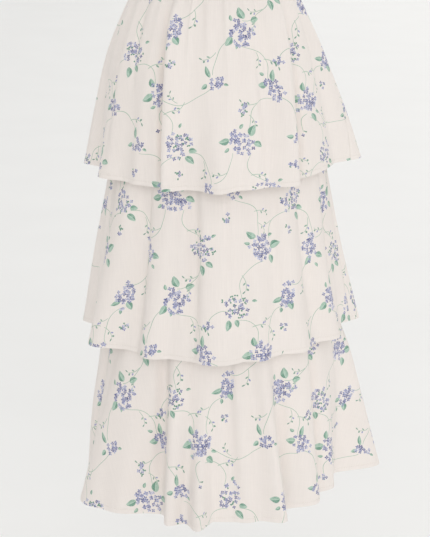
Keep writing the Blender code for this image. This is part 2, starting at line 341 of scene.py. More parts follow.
#         seam    hem   spread out  lean start
TIER_1_FOLDS = (
    Fold(-96.0, -102.0, 9.0, 37, 0, 0.0),
    Fold(-62.0, -69.0, 14.0, 14, 0, 0.0),
    Fold(-43.0, -46.0, 7.0, 5, 0, -0.6),
    Fold(-29.0, -22.5, 7.5, 23, -9, -0.9),
    Fold(0.0, 1.0, 12.0, 24, 0, 0.45),
    Fold(19.0, 21.0, 11.0, 7, 0, -0.3),
    Fold(45.0, 36.0, 11.0, 29, 8, -0.6),
    Fold(84.0, 98.0, 17.0, 50, 0, 0.0),
    Fold(122.0, 129.0, 13.0, 18, 0, 0.0),
    Fold(150.0, 155.0, 12.0, 22, -3, -0.2),
    Fold(178.0, 180.0, 13.0, 17, 0, 0.1),
    Fold(-153.0, -157.0, 12.0, 23, 3, -0.2),
    Fold(-126.0, -130.0, 12.0, 16, 0, 0.0),
)
TIER_2_FOLDS = (
    Fold(-96.0, -99.0, 9.0, 26, 0, 0.0),
    Fold(-58.0, -62.0, 15.0, 36, 0, 0.0),
    Fold(-31.0, -32.0, 11.0, 17, 0, -0.1),
    Fold(-2.0, 0.0, 15.0, 18, 0, 0.0),
    Fold(19.0, 19.0, 9.0, 10, 2, 0.0),
    Fold(41.0, 42.0, 11.0, 14, 0, 0.0),
    Fold(62.0, 65.0, 11.0, 19, 0, 0.1),
    Fold(93.0, 96.0, 12.5, 37, 0, 0.0),
    Fold(121.0, 125.0, 13.0, 19, 0, 0.0),
    Fold(149.0, 151.0, 12.0, 24, 3, -0.1),
    Fold(177.0, 178.0, 13.0, 18, 0, 0.1),
    Fold(-154.0, -155.0, 12.0, 23, -3, -0.1),
    Fold(-125.0, -128.0, 12.0, 20, 0, 0.0),
)
TIER_3_FOLDS = (
    Fold(-50.0, -56.0, 20.0, 50, 0, 0.0),
    Fold(-38.0, -40.0, 11.0, 24, 0, 0.2),
    Fold(-22.0, -17.0, 7.0, 32, -7, -0.1),
    Fold(-8.0, -7.5, 6.5, 40, 2, 0.4),
    Fold(12.0, 14.0, 9.0, 15, 0, 0.1),
    Fold(22.0, 24.0, 8.0, 38, 8, 0.0),
    Fold(44.0, 45.0, 12.0, 25, 3, 0.0),
    Fold(63.0, 63.0, 9.0, 14, 0, 0.1),
    Fold(89.0, 91.0, 13.0, 79, 0, 0.0),
    Fold(120.0, 121.0, 13.0, 28, 0, 0.0),
    Fold(146.0, 147.0, 12.0, 31, -3, -0.1),
    Fold(172.0, 173.0, 13.0, 26, 0, 0.1),
    Fold(-161.0, -161.0, 12.0, 31, 3, -0.1),
    Fold(-134.0, -135.0, 12.0, 28, 0, 0.0),
    Fold(-110.0, -112.0, 10.0, 20, 0, 0.0),
)

#          from    top     to     foot   width depth
TIER_1_CREASES = (
    Crease(-71.0, -0.045, -67.0, -0.330, 8.0, 6.0),
    Crease(-58.0, -0.038, -54.0, -0.210, 5.0, 3.5),
    Crease(-38.5, -0.036, -29.5, -0.370, 6.5, 12.0),
    Crease(-32.0, -0.060, -24.0, -0.350, 6.0, -2.0),
    Crease(-12.0, -0.038, -9.0, -0.130, 4.5, 1.6),
    Crease(6.0, -0.180, 9.0, -0.350, 9.0, -1.6),
    Crease(12.0, -0.038, 13.0, -0.200, 5.0, 1.8),
    Crease(24.0, -0.038, 28.0, -0.330, 7.0, 3.4),
    Crease(57.5, -0.038, 47.0, -0.370, 10.0, 13.0),
    Crease(74.0, -0.040, 73.0, -0.220, 6.0, 2.6),
    Crease(106.0, -0.050, 112.0, -0.320, 9.0, 6.0),
    Crease(136.0, -0.038, 141.0, -0.270, 7.0, 3.4),
    Crease(164.0, -0.050, 167.0, -0.350, 10.0, 7.0),
    Crease(-168.0, -0.038, -170.0, -0.280, 6.5, 2.8),
    Crease(-140.0, -0.050, -143.0, -0.340, 9.0, 6.5),
    Crease(-112.0, -0.040, -115.0, -0.260, 6.0, 3.0),
)
TIER_2_CREASES = (
    Crease(-77.0, -0.290, -80.0, -0.560, 8.0, 3.0),
    Crease(-44.5, -0.290, -42.0, -0.640, 12.5, 12.0),
    Crease(-24.0, -0.280, -22.0, -0.430, 5.0, 2.2),
    Crease(-14.0, -0.290, -11.0, -0.640, 11.0, 11.0),
    Crease(6.0, -0.290, 5.0, -0.560, 8.0, 3.0),
    Crease(34.0, -0.290, 30.0, -0.600, 9.0, 3.6),
    Crease(51.0, -0.285, 53.0, -0.600, 10.0, 6.0),
    Crease(77.0, -0.300, 79.0, -0.600, 10.0, 7.0),
    Crease(107.0, -0.290, 109.0, -0.580, 9.0, 5.5),
    Crease(135.0, -0.280, 138.0, -0.460, 6.0, 2.6),
    Crease(163.0, -0.290, 164.0, -0.620, 10.0, 7.5),
    Crease(-168.0, -0.280, -169.0, -0.450, 6.0, 2.6),
    Crease(-139.0, -0.290, -141.0, -0.610, 9.0, 7.0),
    Crease(-110.0, -0.280, -112.0, -0.470, 6.0, 3.0),
)
TIER_3_CREASES = (
    Crease(-72.0, -0.560, -75.0, -0.850, 11.0, 8.0),
    Crease(-58.0, -0.620, -66.0, -0.880, 9.0, 2.4),
    Crease(-30.0, -0.550, -25.5, -0.930, 9.0, 15.0),
    Crease(-14.0, -0.545, -13.0, -0.720, 4.5, 2.0),
    Crease(5.0, -0.550, 7.0, -0.880, 10.0, 6.5),
    Crease(18.0, -0.640, 19.0, -0.870, 7.0, 2.4),
    Crease(32.0, -0.600, 31.5, -0.930, 9.0, 9.0),
    Crease(55.0, -0.550, 53.5, -0.890, 9.0, 12.0),
    Crease(75.0, -0.545, 76.0, -0.740, 6.0, 2.6),
    Crease(105.0, -0.550, 106.0, -0.860, 10.0, 7.0),
    Crease(133.0, -0.545, 134.0, -0.730, 6.0, 2.8),
    Crease(159.0, -0.550, 160.0, -0.880, 11.0, 8.5),
    Crease(-174.0, -0.545, -175.0, -0.740, 6.0, 2.6),
    Crease(-148.0, -0.550, -148.0, -0.870, 10.0, 8.0),
    Crease(-122.0, -0.545, -123.0, -0.760, 6.5, 3.0),
)
UNDERSKIRT_CREASES = (
    Crease(-55.0, -0.200, -60.0, -0.550, 16.0, 2.0),
    Crease(-10.0, -0.240, -14.0, -0.550, 18.0, 2.4),
    Crease(42.0, -0.200, 45.0, -0.550, 15.0, 2.0),
    Crease(120.0, -0.220, 124.0, -0.550, 17.0, 2.2),
    Crease(172.0, -0.200, 170.0, -0.550, 16.0, 2.4),
    Crease(-130.0, -0.240, -126.0, -0.550, 15.0, 2.0),
)

TIER_1 = Tube(TIER_1_LEVELS, TIER_1_FOLDS, TIER_1_CREASES, 12, 24, 3.6 * MM, 1.3 * MM, 7.5)
TIER_2 = Tube(TIER_2_LEVELS, TIER_2_FOLDS, TIER_2_CREASES, 12, 32, 2.2 * MM, 1.4 * MM, 8.0)
TIER_3 = Tube(TIER_3_LEVELS, TIER_3_FOLDS, TIER_3_CREASES, 12, 36, 2.2 * MM, 1.5 * MM, 8.5)
UNDERSKIRT = Tube(UNDERSKIRT_LEVELS, (), UNDERSKIRT_CREASES)


# ---------------------------------------------------------------- nodes
# the setting that says what a node of this kind does
CHOICES = {"Math": "operation", "VectorMath": "operation", "Mix": "data_type", "Mapping": "vector_type",
           "VectorRotate": "rotation_type", "TexGradient": "gradient_type", "TexWave": "bands_direction",
           "TexNoise": "noise_dimensions", "TexWhiteNoise": "noise_dimensions",
           "TexVoronoi": "voronoi_dimensions"}


def linear(colour: str) -> tuple[float, ...]:
    """An sRGB hex colour as a linear one.

    Args:
        colour: Six hex digits after a hash sign.

    Returns:
        Red, green, blue and alpha.
    """
    channels = [int(colour[i:i + 2], 16) / 255 for i in (1, 3, 5)]
    return *(c / 12.92 if c <= 0.04045 else ((c + 0.055) / 1.055) ** 2.4 for c in channels), 1.0


def feed(tree: bpy.types.NodeTree, inputs: Iterable[tuple[Socket, object]]) -> None:
    """Link sockets or set their values.

    Args:
        tree: The node tree.
        inputs: Each input with a socket or a value for it; None leaves it as it is.
    """
    for socket, source in inputs:
        if isinstance(source, Socket):
            tree.links.new(source, socket)
        elif source is not None:
            socket.default_value = source


def add_node(tree: bpy.types.NodeTree, kind: str, *sources: object, **settings: object) -> Socket:
    """Add a node, set it up and feed the inputs that it shows, in order.

    Args:
        tree: The node tree.
        kind: The node's type, and after a space its setting in CHOICES.
        *sources: A socket or a value for each shown input.
        **settings: The node's other settings.

    Returns:
        The first output that the node shows; the others are on its node.
    """
    kind, _, choice = kind.partition(" ")
    node = tree.nodes.new(f"ShaderNode{kind}")
    if choice:
        setattr(node, CHOICES[kind], choice)
    for name, value in settings.items():
        setattr(node, name, value)
    feed(tree, zip([socket for socket in node.inputs if socket.enabled], sources))
    return next(socket for socket in node.outputs if socket.enabled)


def make_material(name: str, looks: Callable[[Adder], dict[str, object]]) -> Material:
    """Make a material with one surface.

    Args:
        name: The material's name.
        looks: Adds its nodes, and returns what goes into each of the surface's inputs.

    Returns:
        The material.
    """
    material = bpy.data.materials.new(name)
    material.use_nodes = True
    tree = material.node_tree
    inputs = tree.nodes["Principled BSDF"].inputs
    feed(tree, [(inputs[key], source) for key, source in looks(partial(add_node, tree)).items()])
    return material


# ---------------------------------------------------------------- the print
class Head(Enum):
    """The kinds of flower head: half their length and half their width in mm, and if they are loose."""

    GLOBE = (25.5, 21.0, False)
    CONE = (24.0, 14.0, False)
    OPEN = (26.0, 20.0, True)
    POSY = (15.0, 11.5, False)
    TUFT = (10.0, 8.0, True)

    def __init__(self, length: float, width: float, loose: bool) -> None:
        """Keep the head's size, and whether the ground shows between its florets."""
        self.halves, self.loose = (length, width), loose


@dataclass(frozen=True)
class Leaf:
    """A leaf on a flower head, in degrees and mm from the head's middle."""

    bearing: float
    reach: float
    tip: float              # where its tip points, from straight out
    length: float
    width: float


@dataclass(frozen=True)
class Spray:
    """A flower head with its leaves, placed in the repeat in mm."""

    x: float
    y: float
    turned: float
    head: Head


@dataclass(frozen=True)
class Shoot:
    """A twig with small leaves that grows from a vine."""

    along: float            # where on the vine: -1 at its start and 1 at its end
    turned: float           # degrees to the left of the vine's own direction there
    reach: float            # half its length in mm


@dataclass(frozen=True)
class Vine:
    """A thin stem between two places in the repeat, in mm, and how far it bows to its left."""

    x: float
    y: float
    to_x: float
    to_y: float
    bow: float
    shoots: tuple[Shoot, ...] = ()


@dataclass(frozen=True)
class Motif:
    """One motif of the print, in metres, with its direction in radians."""

    x: float
    y: float
    turned: float
    size: tuple[float, float]


REPEAT = (315.0 * MM, 340.0 * MM)       # width and height of the print's repeat
HEAD_EDGE = 0.4                         # depth in its wider ellipse at which a flower head ends
FAR_OFF = (9.0, 9.0, 0.0)               # a place that no motif reaches
#        bearing reach tip length width
LEAVES = {
    Head.GLOBE: (Leaf(80, 28, 20, 20, 14), Leaf(28, 30, -25, 16, 11), Leaf(205, 28, 15, 18, 12),
                 Leaf(118, 27, -30, 10, 6), Leaf(236, 26, 10, 10, 6)),
    Head.CONE: (Leaf(148, 21, -10, 20, 9), Leaf(222, 19, 15, 16, 12), Leaf(185, 29, 20, 9, 6)),
    Head.OPEN: (Leaf(262, 32, 15, 18, 12), Leaf(292, 26, 25, 14, 10), Leaf(40, 31, -20, 9, 5)),
    Head.POSY: (Leaf(95, 21, -15, 20, 8), Leaf(172, 18, 20, 12, 8), Leaf(-40, 18, 0, 8, 5)),
    Head.TUFT: (),
}
SPRAYS = (
    Spray(58, 300, 15, Head.GLOBE),
    Spray(168, 288, -20, Head.OPEN),
    Spray(262, 306, 65, Head.CONE),
    Spray(14, 218, 30, Head.POSY),
    Spray(112, 214, -50, Head.CONE),
    Spray(216, 208, 100, Head.GLOBE),
    Spray(56, 122, -30, Head.GLOBE),
    Spray(158, 136, 0, Head.POSY),
    Spray(266, 122, 40, Head.OPEN),
    Spray(6, 40, 110, Head.CONE),
    Spray(108, 40, 10, Head.OPEN),
    Spray(208, 44, -70, Head.GLOBE),
    Spray(118, 262, 0, Head.TUFT),
    Spray(258, 250, 40, Head.TUFT),
    Spray(58, 178, 80, Head.TUFT),
    Spray(204, 152, 20, Head.TUFT),
    Spray(150, 90, 60, Head.TUFT),
    Spray(262, 72, 110, Head.TUFT),
)
VINES = (
    Vine(62, 276, 104, 232, 13, (Shoot(0.10, 38, 13), Shoot(-0.35, -48, 11))),
    Vine(40, 284, 12, 236, -9, (Shoot(0.10, -35, 12),)),
    Vine(176, 268, 206, 232, 9, (Shoot(-0.20, 44, 14),)),
    Vine(148, 282, 118, 264, -6),
    Vine(256, 284, 228, 234, -13, (Shoot(0.30, 48, 12), Shoot(-0.10, -46, 11))),
    Vine(104, 196, 70, 146, -14, (Shoot(-0.25, -40, 12), Shoot(0.35, 46, 11))),
    Vine(124, 202, 154, 152, 10, (Shoot(0.00, 42, 13),)),
    Vine(226, 184, 258, 144, 12, (Shoot(-0.30, 40, 14),)),
    Vine(212, 186, 205, 156, -5),
    Vine(42, 100, 12, 62, 10, (Shoot(0.10, -44, 12),)),
    Vine(72, 100, 100, 60, -11, (Shoot(0.05, 46, 13),)),
    Vine(166, 120, 200, 66, 16, (Shoot(-0.15, 42, 12), Shoot(0.50, 40, 10))),
    Vine(256, 102, 222, 64, -10, (Shoot(0.25, -42, 11),)),
    Vine(286, 106, 320, 62, 11, (Shoot(-0.10, -46, 13),)),
    Vine(104, 20, 64, -22, 11, (Shoot(-0.20, -40, 12), Shoot(0.40, 44, 11))),
    Vine(206, 20, 174, -34, -13, (Shoot(0.00, 46, 13),)),
    Vine(-2, 18, -48, -16, 12, (Shoot(-0.10, 42, 13),)),
    Vine(2, 206, -78, 200, 17, (Shoot(-0.10, 30, 12), Shoot(0.25, -44, 11))),
)


def leaves() -> Iterator[Motif]:
    """Place the leaves.

    Returns:
        Each leaf; its size is half its length and half its width.
    """
    for spray in SPRAYS:
        for leaf in LEAVES[spray.head]:
            out = math.radians(spray.turned + leaf.bearing)
            yield Motif(spray.x * MM + leaf.reach * MM * math.cos(out),
                        spray.y * MM + leaf.reach * MM * math.sin(out),
                        out + math.radians(leaf.tip), (leaf.length * MM / 2, leaf.width * MM / 2))


def shoots() -> Iterator[Motif]:
    """Place the shoots on their vines.

    Returns:
        Each shoot; its size is half its length both ways.
    """
    for vine in VINES:
        run, rise = vine.to_x - vine.x, vine.to_y - vine.y
        half, way = math.hypot(run, rise) / 2, math.atan2(rise, run)
        for shoot in vine.shoots:
            along, across = shoot.along * half, vine.bow * (1.0 - shoot.along ** 2)
            out = way + math.atan2(-2 * vine.bow * shoot.along, half) + math.radians(shoot.turned)
            x = vine.x + run / 2 + along * math.cos(way) - across * math.sin(way)
            y = vine.y + rise / 2 + along * math.sin(way) + across * math.cos(way)
            yield Motif((x + shoot.reach * math.cos(out)) * MM, (y + shoot.reach * math.sin(out)) * MM, out,
                        (shoot.reach * MM, shoot.reach * MM))


def vines() -> Iterator[Motif]:
    """Place the vines.

    Returns:
        Each vine's parabola, from the top of its bow; its size is half its length and its bow.
    """
    for vine in VINES:
        run, rise, bow = (vine.to_x - vine.x) * MM, (vine.to_y - vine.y) * MM, vine.bow * MM
        half = math.hypot(run, rise) / 2
        yield Motif(vine.x * MM + run / 2 - rise / 2 / half * bow,
                    vine.y * MM + rise / 2 + run / 2 / half * bow, math.atan2(rise, run), (half, bow))


def spread_out(motifs: Iterable[Motif]) -> Iterator[Motif]:
    """Place the motifs in the neighbouring repeats too.

    Args:
        motifs: The motifs of one repeat.

    Returns:
        Every motif that touches the repeat, also those whose middle lies in the next one.
    """
    wide, high = REPEAT
    for motif in motifs:
        reach = max(map(abs, motif.size))
        for x in (motif.x - wide, motif.x, motif.x + wide):
            for y in (motif.y - high, motif.y, motif.y + high):
                if -reach < x < wide + reach and -reach < y < high + reach:
                    yield replace(motif, x=x, y=y)


def in_repeat(add: Adder, place: Socket) -> Socket:
    """A place on the cloth as a place in the repeat."""
    return add("VectorMath WRAP", place, (*REPEAT, 1.0), (0.0, 0.0, -1.0))


def depth_in(add: Adder, place: Socket, motif: Motif) -> Socket:
    """How deep a place lies in a motif's ellipse.

    Args:
        add: Adds a node.
        place: The place in the repeat.
        motif: The motif.

    Returns:
        The depth: 1 at the motif's middle and 0 at its edge.
    """
    node = add("TexGradient SPHERICAL", place).node
    mapping = node.texture_mapping
    mapping.vector_type = "TEXTURE"
    mapping.translation = (motif.x, motif.y, 0.0)
    mapping.rotation = (0.0, 0.0, motif.turned)
    mapping.scale = (*motif.size, 1.0)
    return node.outputs["Fac"]


def in_heads(add: Adder, place: Socket, loose: bool) -> Socket:
    """How deep a place lies in the flower heads of one sort.

    Args:
        add: Adds a node.
        place: The place in the repeat.
        loose: Whether to look at the loose heads or at the full ones.

    Returns:
        The depth: 1 at a head's middle, HEAD_EDGE at its edge and 0 well outside.
    """
    deepest: object = 0.0
    heads = (Motif(spray.x * MM, spray.y * MM, math.radians(spray.turned),
                   tuple(half * MM / (1 - HEAD_EDGE) for half in spray.head.halves))
             for spray in SPRAYS if spray.head.loose == loose)
    for head in spread_out(heads):
        deepest = add("Math MAXIMUM", deepest, depth_in(add, place, head))
    return deepest


def nearest_of(add: Adder, place: Socket, motifs: Iterable[Motif], growth: float,
               across: float = 0.0) -> list[Socket]:
    """A place as the nearest of several motifs sees it.

    Args:
        add: Adds a node.
        place: The place in the repeat.
        motifs: The motifs.
        growth: How far each motif's ellipse of influence reaches, in its own size.
        across: Metres that the ellipse reaches across the motif, where it isn't its own width.

    Returns:
        The place along and across the motif in the motif's own length and width, and that size.
    """
    spot, size, deepest = FAR_OFF, (1.0, 1.0, 1.0), 0.0
    for motif in spread_out(motifs):
        area = (motif.size[0] * growth, across or abs(motif.size[1]) * growth)
        depth = depth_in(add, place, replace(motif, size=area))
        nearer = add("Math GREATER_THAN", depth, deepest)
        spot = add("Mix VECTOR", nearer, spot, (motif.x, motif.y, motif.turned))
        size = add("Mix VECTOR", nearer, size, (*motif.size, 1.0))
        deepest = add("Math MAXIMUM", deepest, depth)
    back = add("Math MULTIPLY", add("SeparateXYZ", spot).node.outputs["Z"], -1.0)
    local = add("VectorMath SUBTRACT", place, spot)
    local = add("VectorRotate Z_AXIS", local, None, back)
    parts = add("SeparateXYZ", add("VectorMath DIVIDE", local, size)).node.outputs
    return [parts["X"], parts["Y"], size]


@dataclass(frozen=True)
class FlowerPrint:
    """A screen print of lavender flower heads, sage leaves and thin vines, in a straight repeat.

    Its layout is charted in the tables above.  Florets are the cells of a Voronoi pattern,
    and a floret is printed where its middle falls on a flower head.  Lengths without a unit are
    shares of the motif's own size.
    """

    petal_light: str = "#D6D8EA"
    petal: str = "#9CA1C6"
    petal_dark: str = "#5B608F"
    heart: str = "#E9E2BE"          # the floret's pale yellow middle
    leaf_light: str = "#B2CCBD"
    leaf_dark: str = "#6C9986"
    vein: str = "#D0E2D4"
    stem: str = "#A8C1AF"
    line: float = 0.47 * MM         # half the width of a stem
    line_edge: tuple[float, float] = (1.4, 0.6)     # its ink fades in between these shares of that
    wander: float = 1.8 * MM        # how far a vine waves from side to side
    waves: tuple[int, int] = (6, 7)                 # its waves across and up the repeat
    vine_end: float = 1.3           # square of the way along a vine at which it stops
    vine_room: float = 32 * MM      # a vine is looked for this far to its sides
    twig: tuple[float, float] = (0.055, 0.020)      # half its width, from no ink to full ink
    twig_bend: float = 0.24
    leaflet_pitch: float = 0.26     # from one small leaf of a shoot to the next on the same side
    leaflet_out: float = 0.23       # from the twig to a small leaf's middle
    leaflet_slant: float = 48.0     # degrees
    leaflet: tuple[float, float] = (0.21, 0.10)     # half its length and half its width
    leaflet_edge: tuple[float, float] = (1.1, 0.8)  # its ink fades in between these shares of its size
    leafed: tuple[float, float] = (-0.4, 1.2)       # the stretch of a twig that bears small leaves
    bare: float = 0.28              # share of the small leaves that are left out
    budding: float = 0.45           # and share that are left out or are buds
    leaf_bend: float = 0.25
    leaf_round: float = 0.75        # power of the leaf's outline: 0.5 is an ellipse
    leaf_taper: tuple[float, float] = (-0.28, 0.92)     # narrowing towards the tip, and width at its middle
    leaf_edge: tuple[float, float] = (0.05, 0.16)   # its ink fades in this far inside the outline
    teeth: float = 0.11             # half of the way from one tooth of a leaf to the next
    tooth: float = 0.8              # how much a tooth stands out for its length
    wash: float = 160.0             # tones of green per metre of leaf
    wash_ends: tuple[float, float] = (0.25, 0.75)   # tones that print lightest and darkest
    half_tone: float = 0.16         # one half of a leaf is lighter by this, and the other darker
    vein_pitch: float = 0.15        # half of the way from one side vein to the next
    vein_slant: float = 0.7
    side_vein: tuple[float, ...] = (0.035, 0.015, 0.0, 0.45)    # from no ink to full ink, and how strong
    midrib: tuple[float, ...] = (0.09, 0.04, 0.0, 0.9)
    floret: float = 3.8 * MM        # radius of a floret
    floret_sizes: tuple[float, float] = (1.25, 0.92)    # from the smallest to the largest, as 1 / size
    pitch: float = 7.4 * MM         # from one floret to the next
    scatter: float = 0.72           # 0 is a grid of florets, and 1 is wild
    ragged: float = 55.0            # dents per metre in a flower head's outline
    dents: tuple[float, float] = (-0.6, 0.3)        # the outline moves by noise times this, plus that
    stray: float = 0.2              # and by chance times this for each floret
    gaps: tuple[float, float] = (0.06, 0.5)         # share of florets left out, and how much more when darker
    green_from: tuple[float, float] = (0.68, 0.4)   # a loose floret is green above it, less that when darker
    petal_out: tuple[float, float] = (0.40, 0.40)   # a petal's middle, from its floret's
    petal_half: tuple[float, float] = (0.46, 0.33)  # half its length and half its width
    petal_edge: tuple[float, float] = (1.10, 0.85)  # its ink fades in between these shares of its size
    petal_base: float = -0.45       # petals darken by this from the tip to the middle
    petal_tone: float = 0.7         # and florets differ by this
    dropped: float = 0.62           # share of the petals that a loose green floret lacks
    tones: tuple[float, float] = (-0.25, 1.35)      # tones that print lightest and darkest
    heart_edge: tuple[float, float] = (0.26, 0.12)  # a heart's radius, from no ink to full ink
    heart_ink: float = 0.9
    behind: tuple[float, float] = (1.37, 0.3)       # a layer of florets behind: moved by this, darker by that

    def vine_inks(self, add: Adder, place: Socket) -> Iterator[Layer]:
        """Lines of one width along parabolas that wave a little.

        Args:
            add: Adds a node.
            place: The place in the repeat.

        Returns:
            The layer.
        """
        waves = [math.tau * count / size for count, size in zip(self.waves, REPEAT)]
        crossed = add("VectorMath MULTIPLY", place, (*waves, 0.0))
        crossed = add("VectorRotate", crossed, None, (0.0, 0.0, 1.0), math.pi / 2)
        crossed = add("VectorMath SINE", crossed)
        place = add("VectorMath MULTIPLY_ADD", crossed, (self.wander, self.wander, 0.0), place)
        along, across, size = nearest_of(add, place, vines(), 1.4, self.vine_room)
        square = add("Math MULTIPLY", along, along)
        off = add("Math ADD", across, square)
        bow = add("SeparateXYZ", size).node.outputs["Y"]
        off = add("Math ABSOLUTE", add("Math MULTIPLY", off, bow))
        thin = add("MapRange", off, *(self.line * share for share in self.line_edge))
        yield add("Math MULTIPLY", thin, add("Math LESS_THAN", square, self.vine_end)), linear(self.stem)

    def shoot_inks(self, add: Adder, place: Socket) -> Iterator[Layer]:
        """Twigs, with small leaves in turn on both sides and a few buds.

        Args:
            add: Adds a node.
            place: The place in the repeat.

        Returns:
            The layer of the twigs, and the layer of their leaves.
        """
        x, y, _ = nearest_of(add, place, shoots(), 1.45)
        square = add("Math MULTIPLY", x, x)
        across = add("Math MULTIPLY_ADD", square, self.twig_bend, y)
        off = add("Math ABSOLUTE", across)
        within = add("Math LESS_THAN", square, 1.0)
        twig = add("MapRange", off, *self.twig)
        twig = add("Math MULTIPLY", twig, within)
        # the small leaves stand in turn on both sides, each in its own stretch of the twig
        side = add("Math SIGN", across)
        moved = add("Math MULTIPLY_ADD", side, self.leaflet_pitch / 2, x)
        along = add("Math WRAP", moved, self.leaflet_pitch, -self.leaflet_pitch)
        start = add("Math SUBTRACT", moved, along)
        leaf = add("CombineXYZ", along, add("Math SUBTRACT", off, self.leaflet_out))
        leaf = add("Mapping TEXTURE", leaf, None, (0.0, 0.0, math.radians(self.leaflet_slant)),
                   (*self.leaflet, 1.0))
        leaf = add("MapRange", add("VectorMath LENGTH", leaf), *self.leaflet_edge)
        leaf = add("Math MULTIPLY", leaf, add("Math GREATER_THAN", start, self.leafed[0]))
        leaf = add("Math MULTIPLY", leaf, add("Math LESS_THAN", start, self.leafed[1]))
        yield twig, linear(self.stem)
        each = add("TexWhiteNoise 2D", add("CombineXYZ", start, side))
        leaf = add("Math MULTIPLY", leaf, add("Math GREATER_THAN", each, self.bare))
        bud = add("Math LESS_THAN", each, self.budding)
        green = add("Mix RGBA", each, linear(self.leaf_light), linear(self.leaf_dark))
        yield leaf, add("Mix RGBA", bud, green, linear(self.petal))

    def leaf_inks(self, add: Adder, place: Socket) -> Iterator[Layer]:
        """Toothed leaves, with a midrib and side veins.

        Args:
            add: Adds a node.
            place: The place in the repeat.

        Returns:
            The layer.
        """
        x, y, _ = nearest_of(add, place, leaves(), 1.25)
        square = add("Math MULTIPLY", x, x)
        bent = add("Math MULTIPLY_ADD", square, self.leaf_bend, y)
        off = add("Math ABSOLUTE", bent)
        wide = add("Math MAXIMUM", add("Math SUBTRACT", 1.0, square), 0.0)
        wide = add("Math POWER", wide, self.leaf_round)
        wide = add("Math MULTIPLY", wide, add("Math MULTIPLY_ADD", x, *self.leaf_taper))
        wide = add("Math MULTIPLY_ADD", add("Math PINGPONG", x, self.teeth), self.tooth, wide)
        inside = add("MapRange", add("Math SUBTRACT", wide, off), *self.leaf_edge)
        wash = add("TexNoise 2D", place, self.wash, 2.0)
        wash = add("Math MULTIPLY_ADD", add("Math SIGN", bent), self.half_tone, wash)
        tone = add("MapRange", wash, *self.wash_ends)
        green = add("Mix RGBA", tone, linear(self.leaf_light), linear(self.leaf_dark))
        side_vein = add("Math PINGPONG", add("Math MULTIPLY_ADD", off, self.vein_slant, x), self.vein_pitch)
        side_vein = add("MapRange", side_vein, *self.side_vein)
        midrib = add("MapRange", off, *self.midrib)
        veins = add("Math MAXIMUM", side_vein, midrib)
        yield inside, add("Mix RGBA", veins, green, linear(self.vein))

    def floret_inks(self, add: Adder, place: Socket, shift: float, darker: float) -> Iterator[Layer]:
        """Florets with four petals each, kept where they fall on a flower head.

        Args:
            add: Adds a node.
            place: The place on the cloth.
            shift: Moves the florets away from those of another layer.
            darker: How much darker than the other layer this one is.

        Returns:
            The layer.
        """
        offset = (shift, shift * 1.7, 0.0)
        moved = add("VectorMath ADD", place, offset)
        cell = add("TexVoronoi 2D", moved, 1.0 / self.pitch, 0.0, 0.5, 2.0, self.scatter).node.outputs
        middle = add("VectorMath SUBTRACT", cell["Position"], offset)
        chance = add("SeparateXYZ", cell["Color"]).node.outputs
        # the heads' edges are ragged by noise and by chance, and single florets are left out
        ragged = add("TexNoise 2D", middle, self.ragged, 1.0)
        ragged = add("Math MULTIPLY_ADD", ragged, self.dents[0], self.dents[1] + HEAD_EDGE)
        ragged = add("Math MULTIPLY_ADD", chance["Z"], self.stray, ragged)
        wrapped = in_repeat(add, middle)
        full = add("Math GREATER_THAN", in_heads(add, wrapped, False), ragged)
        kept = add("Math GREATER_THAN", chance["X"], self.gaps[0] + darker * self.gaps[1])
        full = add("Math MULTIPLY", full, kept)
        loose = add("Math GREATER_THAN", in_heads(add, wrapped, True), ragged)
        printed = add("Math MAXIMUM", full, loose)
        # some florets of the loose heads are green buds
        green = add("Math GREATER_THAN", chance["X"], self.green_from[0] - darker * self.green_from[1])
        green = add("Math MULTIPLY", green, loose)
        # the place as the floret sees it, turned and sized by chance, with its four petals folded into one
        local = add("VectorMath SUBTRACT", place, middle)
        local = add("VectorRotate Z_AXIS", local, None, add("Math MULTIPLY", chance["Y"], math.tau))
        size = add("MapRange", chance["X"], 0.0, 1.0, *(size / self.floret for size in self.floret_sizes))
        local = add("VectorMath SCALE", local, size)
        petal = add("Mapping TEXTURE", add("VectorMath ABSOLUTE", local), (*self.petal_out, 0.0),
                    (0.0, 0.0, math.radians(45)), (*self.petal_half, 1.0))
        petal = add("MapRange", add("VectorMath LENGTH", petal), *self.petal_edge)
        petal = add("Math MULTIPLY", petal, printed)
        # each petal has its own tone, and green florets lack some petals
        quarter = add("VectorMath ADD", add("VectorMath SIGN", local), cell["Color"])
        each = add("TexWhiteNoise 3D", quarter)
        missing = add("Math MULTIPLY", add("Math LESS_THAN", each, self.dropped), green)
        petal = add("Math SUBTRACT", petal, missing, use_clamp=True)
        # petals are darker towards the floret's middle, around its pale heart
        out = add("VectorMath LENGTH", local)
        tone = add("Math MULTIPLY_ADD", out, self.petal_base, each)
        tone = add("Math MULTIPLY_ADD", chance["Z"], self.petal_tone, tone)
        ramp = add("ValToRGB", add("MapRange", tone, *(end - darker for end in self.tones)))
        stops = ramp.node.color_ramp.elements
        stops[0].color = linear(self.petal_light)
        stops[1].color = linear(self.petal_dark)
        stops.new(0.5).color = linear(self.petal)
        heart = add("MapRange", out, *self.heart_edge, 0.0, self.heart_ink - darker)
        blue = add("Mix RGBA", heart, ramp, linear(self.heart))
        yield petal, add("Mix RGBA", green, blue, linear(self.leaf_dark))

    def paint(self, add: Adder, place: Socket, colour: Socket) -> Socket:
        """Lay the whole print over the ground, from the vines up to the front florets.

        Args:
            add: Adds a node.
            place: The place on the cloth.
            colour: The ground's colour.

        Returns:
            The printed cloth's colour.
        """
        wrapped = in_repeat(add, place)
        for shows, ink in chain(self.vine_inks(add, wrapped), self.shoot_inks(add, wrapped),
                                self.leaf_inks(add, wrapped), self.floret_inks(add, place, *self.behind),
                                self.floret_inks(add, place, 0.0, 0.0)):
            colour = add("Mix RGBA", shows, colour, ink)
        return colour


# ---------------------------------------------------------------- finishes
WAVE_UNIT = math.tau / 20.0     # a wave texture repeats 20 / tau times in its unit


